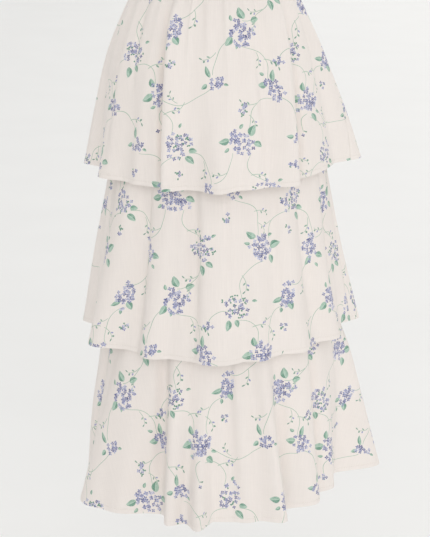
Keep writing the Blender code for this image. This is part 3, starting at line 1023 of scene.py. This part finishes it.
@dataclass(frozen=True)
class PlainWeave:
    """Fine plain-woven cotton: soft, matt, with slubs that run along its threads."""

    name: str
    ground: str
    flowers: FlowerPrint | None = None
    strength: float = 1.0           # how much of the print shows
    roughness: float = 0.88         # typical of unglazed cotton
    ior: float = 1.53               # cotton fibre
    thread: float = 0.9 * MM        # the real 0.35 mm is too fine to show, so it is drawn coarser
    slub: tuple[float, float] = (1.6 * MM, 45.0 * MM)       # a slub's width and length
    weft_slubs: float = 0.4         # how strong they are, beside those of the warp
    clouds: tuple[float, float] = (9.0, 0.6)        # uneven patches per metre, and how strong they are
    slub_ends: tuple[float, float] = (0.6, 1.4)     # slubs that show darkest and palest
    shades: tuple[float, float] = (0.965, 1.025)    # and the shades that they have
    thread_top_highlight: float = 0.02      # painted highlight: a thread's top is this much paler
    slub_height: float = 0.7        # how far a slub stands out, to a thread
    relief: float = 0.12 * MM       # depth of the weave
    bump: float = 0.55
    glint: float = 0.25
    fuzz: tuple[float, float] = (0.12, 0.6)         # the sheen of loose fibres, and its roughness

    def streaks(self, add: Adder, place: Socket, turned: float) -> Socket:
        """Slubs along one set of threads, from 0 to 1."""
        stretched = add("Mapping TEXTURE", place, None, (0.0, 0.0, math.radians(turned)), (*self.slub, 1.0))
        return add("TexNoise 2D", stretched, 1.0, 2.0, 0.6)

    def threads(self, add: Adder, place: Socket) -> Socket:
        """The height of the crossing threads.

        Args:
            add: Adds a node.
            place: The place on the cloth.

        Returns:
            The height, from 0 to 1.
        """
        fine = WAVE_UNIT / self.thread
        warp, weft = (add(f"TexWave {way}", place, fine, 0.6, 1.0, 1.0).node.outputs["Fac"] for way in "XY")
        return add("Math MULTIPLY", warp, weft)

    def looks(self, add: Adder) -> dict[str, object]:
        """The weave's surface.

        Args:
            add: Adds a node.

        Returns:
            What goes into the surface's inputs.
        """
        place = add("UVMap", uv_map="print")
        base = add("RGB")
        base.default_value = linear(self.ground)
        colour = base
        if self.flowers:
            colour = add("Mix RGBA", self.strength, base, self.flowers.paint(add, place, base))
        warp, weft = self.streaks(add, place, 0.0), self.streaks(add, place, 90.0)
        slubs = add("Math MULTIPLY_ADD", weft, self.weft_slubs, warp)
        scale, strength = self.clouds
        slubs = add("Math MULTIPLY_ADD", add("TexNoise 2D", place, scale, 2.0), strength, slubs)
        tone_and_painted_light = add("MapRange", slubs, *self.slub_ends, *self.shades)
        threads = self.threads(add, place)
        # painted highlight on the threads' tops, over the slubs' own tone
        tone_and_painted_light = add("Math MULTIPLY_ADD", threads, self.thread_top_highlight, tone_and_painted_light)
        height = add("Math MULTIPLY_ADD", warp, self.slub_height, threads)
        sheen, rough = self.fuzz
        return {"Base Color": add("VectorMath SCALE", colour, tone_and_painted_light),
                "Normal": add("Bump", self.bump, self.relief, None, height), "Roughness": self.roughness,
                "IOR": self.ior, "Specular IOR Level": self.glint, "Sheen Weight": sheen,
                "Sheen Roughness": rough}


@dataclass(frozen=True)
class SewingThread:
    """Spun sewing thread: two plies whose twist shows as fine slanting bands."""

    name: str = "spun polyester sewing thread"
    colour: str = "#EFE8E0"
    shadow: str = "#CFC6BC"
    twist: float = 0.5 * MM         # from one ply's band to the next
    roughness: float = 0.6
    ior: float = 1.57               # polyester fibre

    def looks(self, add: Adder) -> dict[str, object]:
        """The thread's surface.

        Args:
            add: Adds a node.

        Returns:
            What goes into the surface's inputs.
        """
        place = add("TexCoord").node.outputs["Object"]
        bands = add("TexWave DIAGONAL", place, WAVE_UNIT / self.twist, 0.5, 1.0, 1.0).node.outputs["Fac"]
        return {"Base Color": add("Mix RGBA", bands, linear(self.shadow), linear(self.colour)),
                "Roughness": self.roughness, "IOR": self.ior}


PRINTED = PlainWeave("printed cotton lawn", "#F0E9E4", FlowerPrint())
REVERSE = PlainWeave("printed cotton lawn, wrong side", "#EDE6E1", FlowerPrint(), strength=0.42)
PLAIN = PlainWeave("plain cotton lawn", "#EDE6E0")
SEWING_THREAD = SewingThread()


# ---------------------------------------------------------------- meshes
# the second map, OFBake: the right side above, the wrong side below, edges between
BAKE_MARGIN, BAKE_SPAN = 0.002, 0.996
BAKE_RIGHT = (0.346, 0.652)             # foot and height of the right side's band
BAKE_WRONG = (0.002, 0.296)
BAKE_STRIPS = (0.302, 0.010, 0.007)     # foot of an edge's strip, the way to the next, and its height
RIM = 0.49                              # faces whose middle lies past this are on the flat panel's edge


def arc_lengths(points: Iterable[Vector]) -> list[float]:
    """Distance along a line of points to each of them."""
    return list(accumulate(((after - before).length for before, after in pairwise(points)), initial=0.0))


def spot_on(lengths: list[float], wanted: float) -> tuple[int, float]:
    """The point before a distance along a line, and the share of the way from it to the next point."""
    index = max(0, min(bisect_left(lengths, wanted) - 1, len(lengths) - 2))
    return index, (wanted - lengths[index]) / (lengths[index + 1] - lengths[index])


def put_in_scene(name: str, data: bpy.types.ID) -> Piece:
    """Make an object of some data.

    Args:
        name: The object's name.
        data: Its mesh, light or camera.

    Returns:
        The object, at the origin.
    """
    item = bpy.data.objects.new(name, data)
    bpy.context.scene.collection.objects.link(item)
    return item


def finish_mesh(mesh: bmesh.types.BMesh, name: str, finishes: list[Material], crease: float) -> Piece:
    """Turn a bmesh into an object.

    Args:
        mesh: The bmesh, which is freed.
        name: The object's name.
        finishes: Its materials.
        crease: Degrees past which an edge is shaded sharp.

    Returns:
        The object.
    """
    data = bpy.data.meshes.new(name)
    mesh.to_mesh(data)
    mesh.free()
    data.shade_smooth()
    data.set_sharp_from_angle(angle=math.radians(crease))
    for finish in finishes:
        data.materials.append(finish)
    return put_in_scene(name, data)


def sew(places: Iterable[tuple[Vector, Vector, Vector]], name: str, thread: Material) -> Piece:
    """Make a row of stitches.

    Args:
        places: Each stitch's middle, the way that it runs and the way that the cloth faces there.
        name: The row's name.
        thread: Its material.

    Returns:
        The stitches, as one piece.
    """
    mesh = bmesh.new()
    size = Matrix.Diagonal((STITCH_LENGTH / 2, THREAD / 2, THREAD / 2, 1.0))
    for place, along, facing in places:
        frame = Matrix((along, facing.cross(along), facing)).transposed().to_4x4()
        bmesh.ops.create_icosphere(mesh, subdivisions=1, radius=1.0,
                                   matrix=Matrix.Translation(place) @ frame @ size)
    return finish_mesh(mesh, name, [thread], NEVER_SHARP)


def ride_along(pieces: Iterable[Piece]) -> None:
    """Let some pieces ride on the skirt's one body.

    Args:
        pieces: The pieces.
    """
    for piece in pieces:
        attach(piece, BODY)
        LOG.info("%s: %d faces", piece.name, len(piece.data.polygons))


@dataclass
class Panel:
    """One panel of a tube of cloth, as a shell with a right and a wrong side."""

    name: str
    tube: Tube
    beneath: Tube | None            # the tube that it must stay clear of
    side: Side
    columns: int
    rows: int
    hemmed: bool
    print_origin: tuple[float, float]

    def __post_init__(self) -> None:
        """Work out the panel's grid of points and the direction of the cloth at each."""
        self.heights = self.row_heights()
        self.bearings = self.column_bearings()
        self.middle = self.hang()
        self.normals = self.directions()
        self.press_creases()
        self.normals = self.directions()

    def row_heights(self) -> list[float]:
        """Space the rows evenly, with close ones at a hem's fold and stitching.

        Returns:
            Their heights.
        """
        top, bottom = self.tube.levels[0].height, self.tube.levels[-1].height
        close = (HEM + 1.0 * MM, HEM + 0.3 * MM, HEM - 0.3 * MM, HEM_STITCHING, HEM / 2, 1.0 * MM, 0.0)
        start = bottom + HEM + 3 * MM if self.hemmed else bottom
        heights = [top + (start - top) * i / self.rows for i in range(self.rows + 1)]
        return heights + [bottom + above for above in close if self.hemmed]

    def column_bearings(self) -> list[float]:
        """Space the columns evenly along the cloth of the hem.

        Returns:
            Their bearings.
        """
        hem = self.tube.levels[-1]
        start, end = self.side.bearings(max(hem.left, hem.right))
        bearings = [start + (end - start) * i / ARC_STEPS for i in range(ARC_STEPS + 1)]
        lengths = arc_lengths(self.tube.section(hem, bearing, 0.0) for bearing in bearings)
        columns = []
        for column in range(self.columns + 1):
            index, share = spot_on(lengths, lengths[-1] * column / self.columns)
            columns.append(bearings[index] + (bearings[index + 1] - bearings[index]) * share)
        return columns

    def hang(self) -> list[list[Vector]]:
        """Place the middle of the cloth by its folds and gathers.

        Returns:
            Its points, row by row.
        """
        rows = []
        for level in map(self.tube.level_at, self.heights):
            waves = (self.tube.gather_wave(c / self.columns, level) for c in range(self.columns + 1))
            rows.append([self.tube.section(level, *place) for place in zip(self.bearings, waves)])
        return rows

    def directions(self) -> list[list[Vector]]:
        """Find which way the right side of the cloth faces.

        Returns:
            The direction at each point, row by row.
        """
        facing, last = [], self.columns
        for r, row in enumerate(self.middle):
            above, below = self.middle[max(r - 1, 0)], self.middle[min(r + 1, len(self.middle) - 1)]
            across = [row[min(c + 1, last)] - row[max(c - 1, 0)] for c in range(last + 1)]
            facing.append([way.cross(up - down).normalized()
                           for way, up, down in zip(across, above, below)])
        return facing

    def room(self, row: int) -> list[float]:
        """How far a row may be pushed in before it meets the cloth beneath.

        Args:
            row: Which row.

        Returns:
            Metres, for each point of the row.
        """
        height = self.heights[row]
        if self.beneath is None or height < self.beneath.levels[-1].height:
            return [math.inf] * len(self.bearings)
        level, room = self.beneath.level_at(height), []
        for point in self.middle[row]:
            under = self.beneath.section(level, math.degrees(math.atan2(point.x, -point.y)), 0.0)
            room.append(max(0.0, point.xy.length - under.xy.length - AIR))
        return room

    def press_creases(self) -> None:
        """Push the creases into the cloth, with the dips along both side seams and at the top seam."""
        widths = arc_lengths(self.middle[-1])
        for r, row in enumerate(self.middle):
            room = self.room(r)
            below = (self.heights[0] - self.heights[r]) / TOP_SEAM_DEPTH
            for c, point in enumerate(row):
                place = self.bearings[c], self.heights[r], point.xy.length
                edge = min(widths[c], widths[-1] - widths[c]) / SIDE_SEAM_WIDTH
                push = sum(crease.push(*place) for crease in self.tube.creases)
                push -= SIDE_SEAM_DIP * math.exp(-edge * edge) + TOP_SEAM_DIP * math.exp(-below * below)
                row[c] = point + self.normals[r][c] * max(push, -room[c])

    def print_places(self) -> list[list[tuple[float, float]]]:
        """Lay the panel out flat, as a sector of a ring.

        Returns:
            Where each point lies on the cloth, row by row.
        """
        half = self.columns // 2
        drops = arc_lengths(row[half] for row in self.middle)
        arcs = [arc_lengths(row) for row in self.middle]
        start = arcs[0][-1] / ((arcs[-1][-1] - arcs[0][-1]) / drops[-1])
        places = []
        for drop, arc in zip(drops, arcs):
            radius = start + drop
            angles = ((length - arc[half]) / radius for length in arc)
            places.append([(self.print_origin[0] + radius * math.sin(angle),
                            self.print_origin[1] + start - radius * math.cos(angle)) for angle in angles])
        return places

    def wall(self, row: int) -> float:
        """Thickness of the cloth in a row: the turned hem is three layers thick."""
        above_hem = self.heights[row] - self.heights[-1]
        return HEM_LAYERS if self.hemmed and above_hem < HEM else SHEER

    @staticmethod
    def bake_place(x: float, y: float, face: bmesh.types.BMFace, outer: bool) -> tuple[float, float]:
        """Where a corner goes on the OFBake map.

        Args:
            x: Share of the way across the panel.
            y: Share of the way up it.
            face: The corner's face, still flat.
            outer: Whether the corner is on the right side.

        Returns:
            The place, from 0 to 1.
        """
        sides, middle = {round(vert.co.z) for vert in face.verts}, face.calc_center_median()
        if len(sides) == 1:
            foot, height = BAKE_RIGHT if sides == {1} else BAKE_WRONG
            return BAKE_MARGIN + BAKE_SPAN * x, foot + height * y
        strips = (middle.y < -RIM, middle.y > RIM, middle.x < -RIM, middle.x > RIM)
        first, pitch, height = BAKE_STRIPS
        along = x if abs(middle.y) > RIM else y
        return BAKE_MARGIN + BAKE_SPAN * along, first + pitch * strips.index(True) + height * outer

    def shell(self, right: Material, wrong: Material) -> Piece:
        """Build the panel: a flat grid, extruded once and then shaped point by point.

        Args:
            right: Material of the side that faces out.
            wrong: Material of the side that faces the body.

        Returns:
            The panel.
        """
        down = len(self.heights) - 1
        places = self.print_places()
        mesh = bmesh.new()
        on_cloth = mesh.loops.layers.uv.new("print")
        on_bake = mesh.loops.layers.uv.new("OFBake")
        bmesh.ops.create_grid(mesh, x_segments=self.columns, y_segments=down, size=0.5)
        extruded = bmesh.ops.extrude_face_region(mesh, geom=mesh.faces[:], use_keep_orig=True)
        outer = [item for item in extruded["geom"] if isinstance(item, bmesh.types.BMVert)]
        bmesh.ops.translate(mesh, verts=outer, vec=(0.0, 0.0, 1.0))
        for face in mesh.faces:
            face.material_index = 0 if any(vert.co.z > 0.5 for vert in face.verts) else 1
            for loop in face.loops:
                x, y, outside = loop.vert.co.x + 0.5, loop.vert.co.y + 0.5, loop.vert.co.z > 0.5
                loop[on_cloth].uv = places[round((1.0 - y) * down)][round(x * self.columns)]
                loop[on_bake].uv = self.bake_place(x, y, face, outside)
        for vert in mesh.verts:
            row, column = round((0.5 - vert.co.y) * down), round((vert.co.x + 0.5) * self.columns)
            offset = (vert.co.z - 0.5) * self.wall(row)
            vert.co = self.middle[row][column] + self.normals[row][column] * offset
        bmesh.ops.recalc_face_normals(mesh, faces=mesh.faces[:])
        return finish_mesh(mesh, f"{self.name}_{self.side.label}_cloth", [right, wrong], SOFT_EDGE)

    def stitches(self, above: float, thread: Material) -> Piece:
        """Sew a row of stitches on the right side, parallel to the hem.

        Args:
            above: How far above the hem the row runs.
            thread: Material of the stitches.

        Returns:
            The stitches, as one piece.
        """
        row = min(range(len(self.heights)), key=lambda r: abs(self.heights[r] - self.heights[-1] - above))
        points, normals = self.middle[row], self.normals[row]
        lengths = arc_lengths(points)
        places, at = [], STITCH_PITCH
        while at < lengths[-1] - STITCH_PITCH:
            column, share = spot_on(lengths, at)
            facing = normals[column].lerp(normals[column + 1], share).normalized()
            along = (points[column + 1] - points[column]).normalized()
            place = points[column].lerp(points[column + 1], share) + facing * (self.wall(row) / 2)
            places.append((place, along, facing))
            at += STITCH_PITCH
        return sew(places, f"{self.name}_{self.side.label}_stitches", thread)


# ---------------------------------------------------------------- sub-assemblies
@dataclass
class Tier:
    """One ruffle tier: a front and a back panel, each cut straight and gathered into its seam."""

    name: str
    tube: Tube
    cut: tuple[float, float]        # flat width and length of each panel
    hangs_from: tuple[str, str]     # what its front and its back panel are sewn to
    print_origin: tuple[float, float]
    columns: int = 230
    rows: int = 74

    def build(self, right: Material, wrong: Material, thread: Material) -> None:
        """Make both panels and dress the frame with them.

        Args:
            right: Material of the printed side.
            wrong: Material of the wrong side.
            thread: Material of the stitching.
        """
        for side, support, shift in zip(Side, self.hangs_from, (0.0, 0.5)):
            origin = (self.print_origin[0] + shift * REPEAT[0], self.print_origin[1] + shift * REPEAT[1])
            panel = Panel(self.name, self.tube, UNDERSKIRT, side, self.columns, self.rows, True, origin)
            cloth, stitches = panel.shell(right, wrong), panel.stitches(HEM_STITCHING, thread)
            ride_along((cloth, stitches))
            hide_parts(f"{self.name}_{side.label}")


@dataclass
class Underskirt:
    """The plain tube under the tiers, which carries the two lower ones."""

    name: str = "underskirt"
    cut: tuple[float, float] = (0.57, 0.525)    # width at the foot, and length
    area: float = 0.270             # it is 0.46 wide at the waist, where the elastic draws it in
    columns: int = 120
    rows: int = 60

    def build(self, cloth: Material, thread: Material) -> None:
        """Make both panels and dress the frame with them.

        Args:
            cloth: Material of both sides.
            thread: Material of the stitching that holds its raw edge.
        """
        for side in Side:
            panel = Panel(self.name, UNDERSKIRT, None, side, self.columns, self.rows, False, (0.0, 0.0))
            piece, stitches = panel.shell(cloth, cloth), panel.stitches(EDGE_STITCHING, thread)
            ride_along((piece, stitches))
            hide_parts(f"{self.name}_{side.label}")


@dataclass
class Waistband:
    """A casing of doubled cloth, gathered on its elastic, with a row of stitching at each edge."""

    name: str = "waistband"
    cut: tuple[float, float] = (0.46, 0.036)    # half of the strip, folded in two as it shows
    left: float = 0.1250
    right: float = 0.1200
    front: float = 0.0975
    back: float = 0.0995
    lean: float = 0.03              # it widens by this much for each metre down
    wall: float = LINING_CLOTH + SEAM_GAP + CLOTH
    skin: float = 0.55              # share of half the wall from the middle to the cloth's own skin
    rounding: float = 2.2 * MM      # depth in which the top edge rounds off
    puckers: int = 30               # puckers in each half
    pucker: float = 3.4 * MM
    pucker_start: float = 3 * MM    # depth at which the puckers have grown to their height
    pinch: float = 6.0 * MM         # the puckers are held in this near to a row of stitching
    fullness: float = 1.25          # cloth for each length of the gathered waistband
    lip: float = 1.6 * MM           # how far the outer skin reaches down over the tiers sewn to it
    flare: float = 1.7 * MM         # and how far it stands out there
    flare_depth: float = 4.5 * MM
    turned_in: float = 0.35 * MM    # from the lip's outer skin to its turned edge
    columns: int = 340
    ring: int = 30                  # steps round the casing's section
    stitch_rows: tuple[float, float] = (5.5 * MM, 29.5 * MM)

    def middle(self, bearing: float, depth: float) -> tuple[Vector, Vector]:
        """A point on the casing's middle and the direction outwards there.

        Args:
            bearing: Where the point is, round the body.
            depth: Metres below the top edge.

        Returns:
            The point, and the direction.
        """
        across, along = math.sin(math.radians(bearing)), math.cos(math.radians(bearing))
        side = self.right if across > 0 else self.left
        face = self.front if along > 0 else self.back
        radius = 1.0 / math.hypot(across / side, along / face) + self.lean * (depth - WAISTBAND / 2)
        out = Vector((across / side, -along / face, 0.0)).normalized()
        return Vector((radius * across, -radius * along, -depth)), out

    def pucker_at(self, share: float, depth: float) -> float:
        """How far the puckers push the cloth out, pulled flat at the rows of stitching.

        Args:
            share: Share of the way across the half.
            depth: Metres below the top edge.

        Returns:
            Metres outwards.
        """
        phase = self.puckers * share + drift(share, PUCKER_DRIFT)
        uneven = 0.7 + drift(share, PUCKER_HEIGHTS)
        edge = min(1.0, PUCKER_ENDS * min(share, 1.0 - share))
        loose = 0.35 + 0.65 * min(1.0, min(abs(depth - row) for row in self.stitch_rows) / self.pinch)
        return self.pucker * uneven * edge * loose * (0.5 + 0.5 * math.cos(math.tau * phase))

    def section(self, bearing: float, share: float, step: float) -> Vector:
        """A point on the casing's skin.

        Args:
            bearing: Where the point is, round the body.
            share: Share of the way across the half.
            step: Share of the way round the section, from the foot of the outer skin.

        Returns:
            The point.
        """
        outside = step < 0.5 or step > 1.0 - 1.5 / self.ring
        if step < 0.5:
            depth = (WAISTBAND + self.lip) * (1.0 - 2 * step)
        elif outside:
            depth = WAISTBAND + (self.lip if step > 1.0 - 0.5 / self.ring else 0.2 * MM)
        else:
            depth = WAISTBAND * (2 * step - 1) * self.ring / (self.ring - 4)
        round_off = math.sqrt(1.0 - (1.0 - min(1.0, depth / self.rounding)) ** 2)
        point, out = self.middle(bearing, depth)
        away = self.wall / 2 * round_off * self.skin
        away += self.pucker_at(share, depth) * min(1.0, depth / self.pucker_start)
        if not outside:
            return point - out * away
        away += self.flare * max(0.0, 1.0 - (WAISTBAND + self.lip - depth) / self.flare_depth) ** 1.5
        return point + out * (away if step < 0.5 else away - self.turned_in)

    def half_round(self) -> float:
        """Length of each half, as it is gathered."""
        return math.pi * (self.left + self.front) / 2

    def half(self, side: Side, cloth: Material) -> Piece:
        """One half of the casing, closed all round.

        Args:
            side: Which half.
            cloth: Its material.

        Returns:
            The piece.
        """
        start, end = side.bearings(self.left)
        mesh = bmesh.new()
        on_cloth = mesh.loops.layers.uv.new("print")
        bmesh.ops.create_grid(mesh, x_segments=self.columns, y_segments=self.ring, size=0.5)
        width = self.half_round() * self.fullness
        for loop in chain.from_iterable(face.loops for face in mesh.faces):
            loop[on_cloth].uv = ((loop.vert.co.x + 0.5) * width, (loop.vert.co.y + 0.5) * 2 * WAISTBAND)
        for vert in mesh.verts:
            share, step = vert.co.x + 0.5, vert.co.y + 0.5
            vert.co = self.section(start + (end - start) * share, share, step)
        bmesh.ops.holes_fill(mesh, edges=[edge for edge in mesh.edges if edge.is_boundary])
        bmesh.ops.recalc_face_normals(mesh, faces=mesh.faces[:])
        return finish_mesh(mesh, f"{self.name}_{side.label}_casing", [cloth], SOFT_EDGE)

    def stitching(self, side: Side, depth: float, thread: Material) -> Piece:
        """A row of stitches on the outer skin.

        Args:
            side: Which half.
            depth: How far below the top edge the row runs.
            thread: Material of the stitches.

        Returns:
            The stitches, as one piece.
        """
        start, end = side.start + 1.0, side.end - 1.0
        count, places = round(self.half_round() / STITCH_PITCH), []
        for index in range(count):
            share = (index + 0.5) / count
            bearing = start + (end - start) * share
            point, out = self.middle(bearing, depth)
            along = (self.middle(bearing + 0.5, depth)[0] - point).normalized()
            lift = self.wall / 2 * self.skin + self.pucker_at(share, depth) + THREAD * 0.2
            places.append((point + out * lift, along, out))
        return sew(places, f"{self.name}_{side.label}_stitches_{round(depth / MM)}", thread)

    def build(self, cloth: Material, thread: Material) -> None:
        """Make both halves and dress the frame with them.

        Args:
            cloth: Material of the casing.
            thread: Material of the stitching.
        """
        for side in Side:
            casing = self.half(side, cloth)
            rows = [self.stitching(side, depth, thread) for depth in self.stitch_rows]
            ride_along((casing, *rows))
            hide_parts(f"{self.name}_{side.label}")


# ---------------------------------------------------------------- studio
@dataclass
class Studio:
    """A pale floor, soft light and the camera."""

    floor: float = -1.25            # the hem hangs this side of the floor as on a standing wearer
    floor_radius: float = 45.0
    floor_colour: str = "#F6F6F5"
    surround_colour: str = "#FFFEFC"
    surround: tuple[tuple[float, float], ...] = (   # height in the surround and its brightness there
        (0.0, 0.85), (0.14, 0.92), (0.40, 0.50), (1.0, 0.58))
    aside: tuple[float, float] = (0.95, 1.055)      # the surround's brightness towards -X and +X
    eye: tuple[float, float, float] = (-0.0034, -2.68, 0.21)
    tilt: float = 15.21             # degrees that the camera looks down
    lens: float = 109.5
    lights: tuple[tuple[str, float, float, float], ...] = (     # degrees from upright, bearing, strength
        ("key", 72.0, 0.0, 0.76), ("rim", 76.0, 75.0, 0.23), ("top", -35.0, 0.0, 1.02))
    softness: float = 45.0          # degrees across each light

    def paper(self, add: Adder) -> dict[str, object]:
        """The floor's surface: matt and almost even, with painted light that makes it a little brighter
        towards +X.

        Args:
            add: Adds a node.

        Returns:
            What goes into the surface's inputs.
        """
        place = add("TexCoord").node.outputs["Object"]
        grain = add("MapRange", add("TexNoise", place, 3.0, 3.0), 0.3, 0.7, 0.985, 1.0)
        across = add("SeparateXYZ", place).node.outputs["X"]
        # painted light: the floor's colour brightens towards +X, as if lit more from that side
        tone_and_painted_light = add("Math MULTIPLY", grain, add("MapRange", across, -1.5, 1.5, 0.95, 1.06))
        base = add("RGB")
        base.default_value = linear(self.floor_colour)
        return {"Base Color": add("VectorMath SCALE", base, tone_and_painted_light), "Roughness": 0.9,
                "Specular IOR Level": 0.1}

    def lay_floor(self) -> None:
        """A large, smooth, pale floor."""
        mesh = bmesh.new()
        bmesh.ops.create_circle(mesh, cap_ends=True, segments=96, radius=self.floor_radius)
        bmesh.ops.translate(mesh, verts=mesh.verts[:], vec=(0.0, 0.0, self.floor))
        paper = make_material("matt studio paper", self.paper)
        finish_mesh(mesh, "studio_floor", [paper], SOFT_EDGE)

    def light(self) -> None:
        """A soft light in front, one from the +X side, one from high behind, and a gentle surround."""
        for name, lean, bearing, strength in self.lights:
            lamp = bpy.data.lights.new(name, "SUN")
            lamp.energy, lamp.angle = strength, math.radians(self.softness)
            put_in_scene(name, lamp).rotation_euler = (math.radians(lean), 0.0, math.radians(bearing))
        world = bpy.data.worlds.new("studio surround, pale behind and overhead")
        world.use_nodes = True
        add = partial(add_node, world.node_tree)
        direction = add("TexCoord").node.outputs["Generated"]
        across = add("SeparateXYZ", direction)
        strength = add("ValToRGB", across.node.outputs["Z"])
        stops = strength.node.color_ramp.elements
        for height, _ in self.surround[1:-1]:
            stops.new(height)
        for stop, (height, brightness) in zip(stops, self.surround):
            stop.position, stop.color = height, (brightness, brightness, brightness, 1.0)
        both = add("Math MULTIPLY", strength, add("MapRange", across, -1.0, 1.0, *self.aside))
        inputs = world.node_tree.nodes["Background"].inputs
        feed(world.node_tree, ((inputs["Color"], linear(self.surround_colour)), (inputs["Strength"], both)))
        bpy.context.scene.world = world

    def stand_camera(self) -> None:
        """The camera, a little above the waist and looking down at the middle tier."""
        camera = put_in_scene("camera", bpy.data.cameras.new("camera"))
        camera.data.lens, camera.data.sensor_width = self.lens, 36.0
        camera.location = self.eye
        camera.rotation_euler = (math.radians(90.0 - self.tilt), 0.0, 0.0)
        bpy.context.scene.camera = camera
        bpy.context.scene.view_settings.view_transform = "Standard"

    def build(self) -> None:
        """Set up the whole studio."""
        self.lay_floor()
        self.light()
        self.stand_camera()


def main() -> None:
    """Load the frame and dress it."""
    logging.basicConfig(level=logging.INFO, format="%(name)s: %(message)s")
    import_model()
    printed, reverse, plain, thread = (make_material(finish.name, finish.looks)
                                       for finish in (PRINTED, REVERSE, PLAIN, SEWING_THREAD))
    Waistband().build(printed, thread)
    Underskirt().build(plain, thread)
    on_band = ("waistband_front_casing", "waistband_back_casing")
    on_underskirt = ("underskirt_front_cloth", "underskirt_back_cloth")
    Tier("tier_1", TIER_1, (0.70, 0.325), on_band, (0.02, 0.03)).build(printed, reverse, thread)
    Tier("tier_2", TIER_2, (0.76, 0.350), on_underskirt, (0.13, 0.21)).build(printed, reverse, thread)
    Tier("tier_3", TIER_3, (0.91, 0.350), on_underskirt, (0.24, 0.09)).build(printed, reverse, thread)
    Studio().build()


if __name__ == "__main__":
    main()
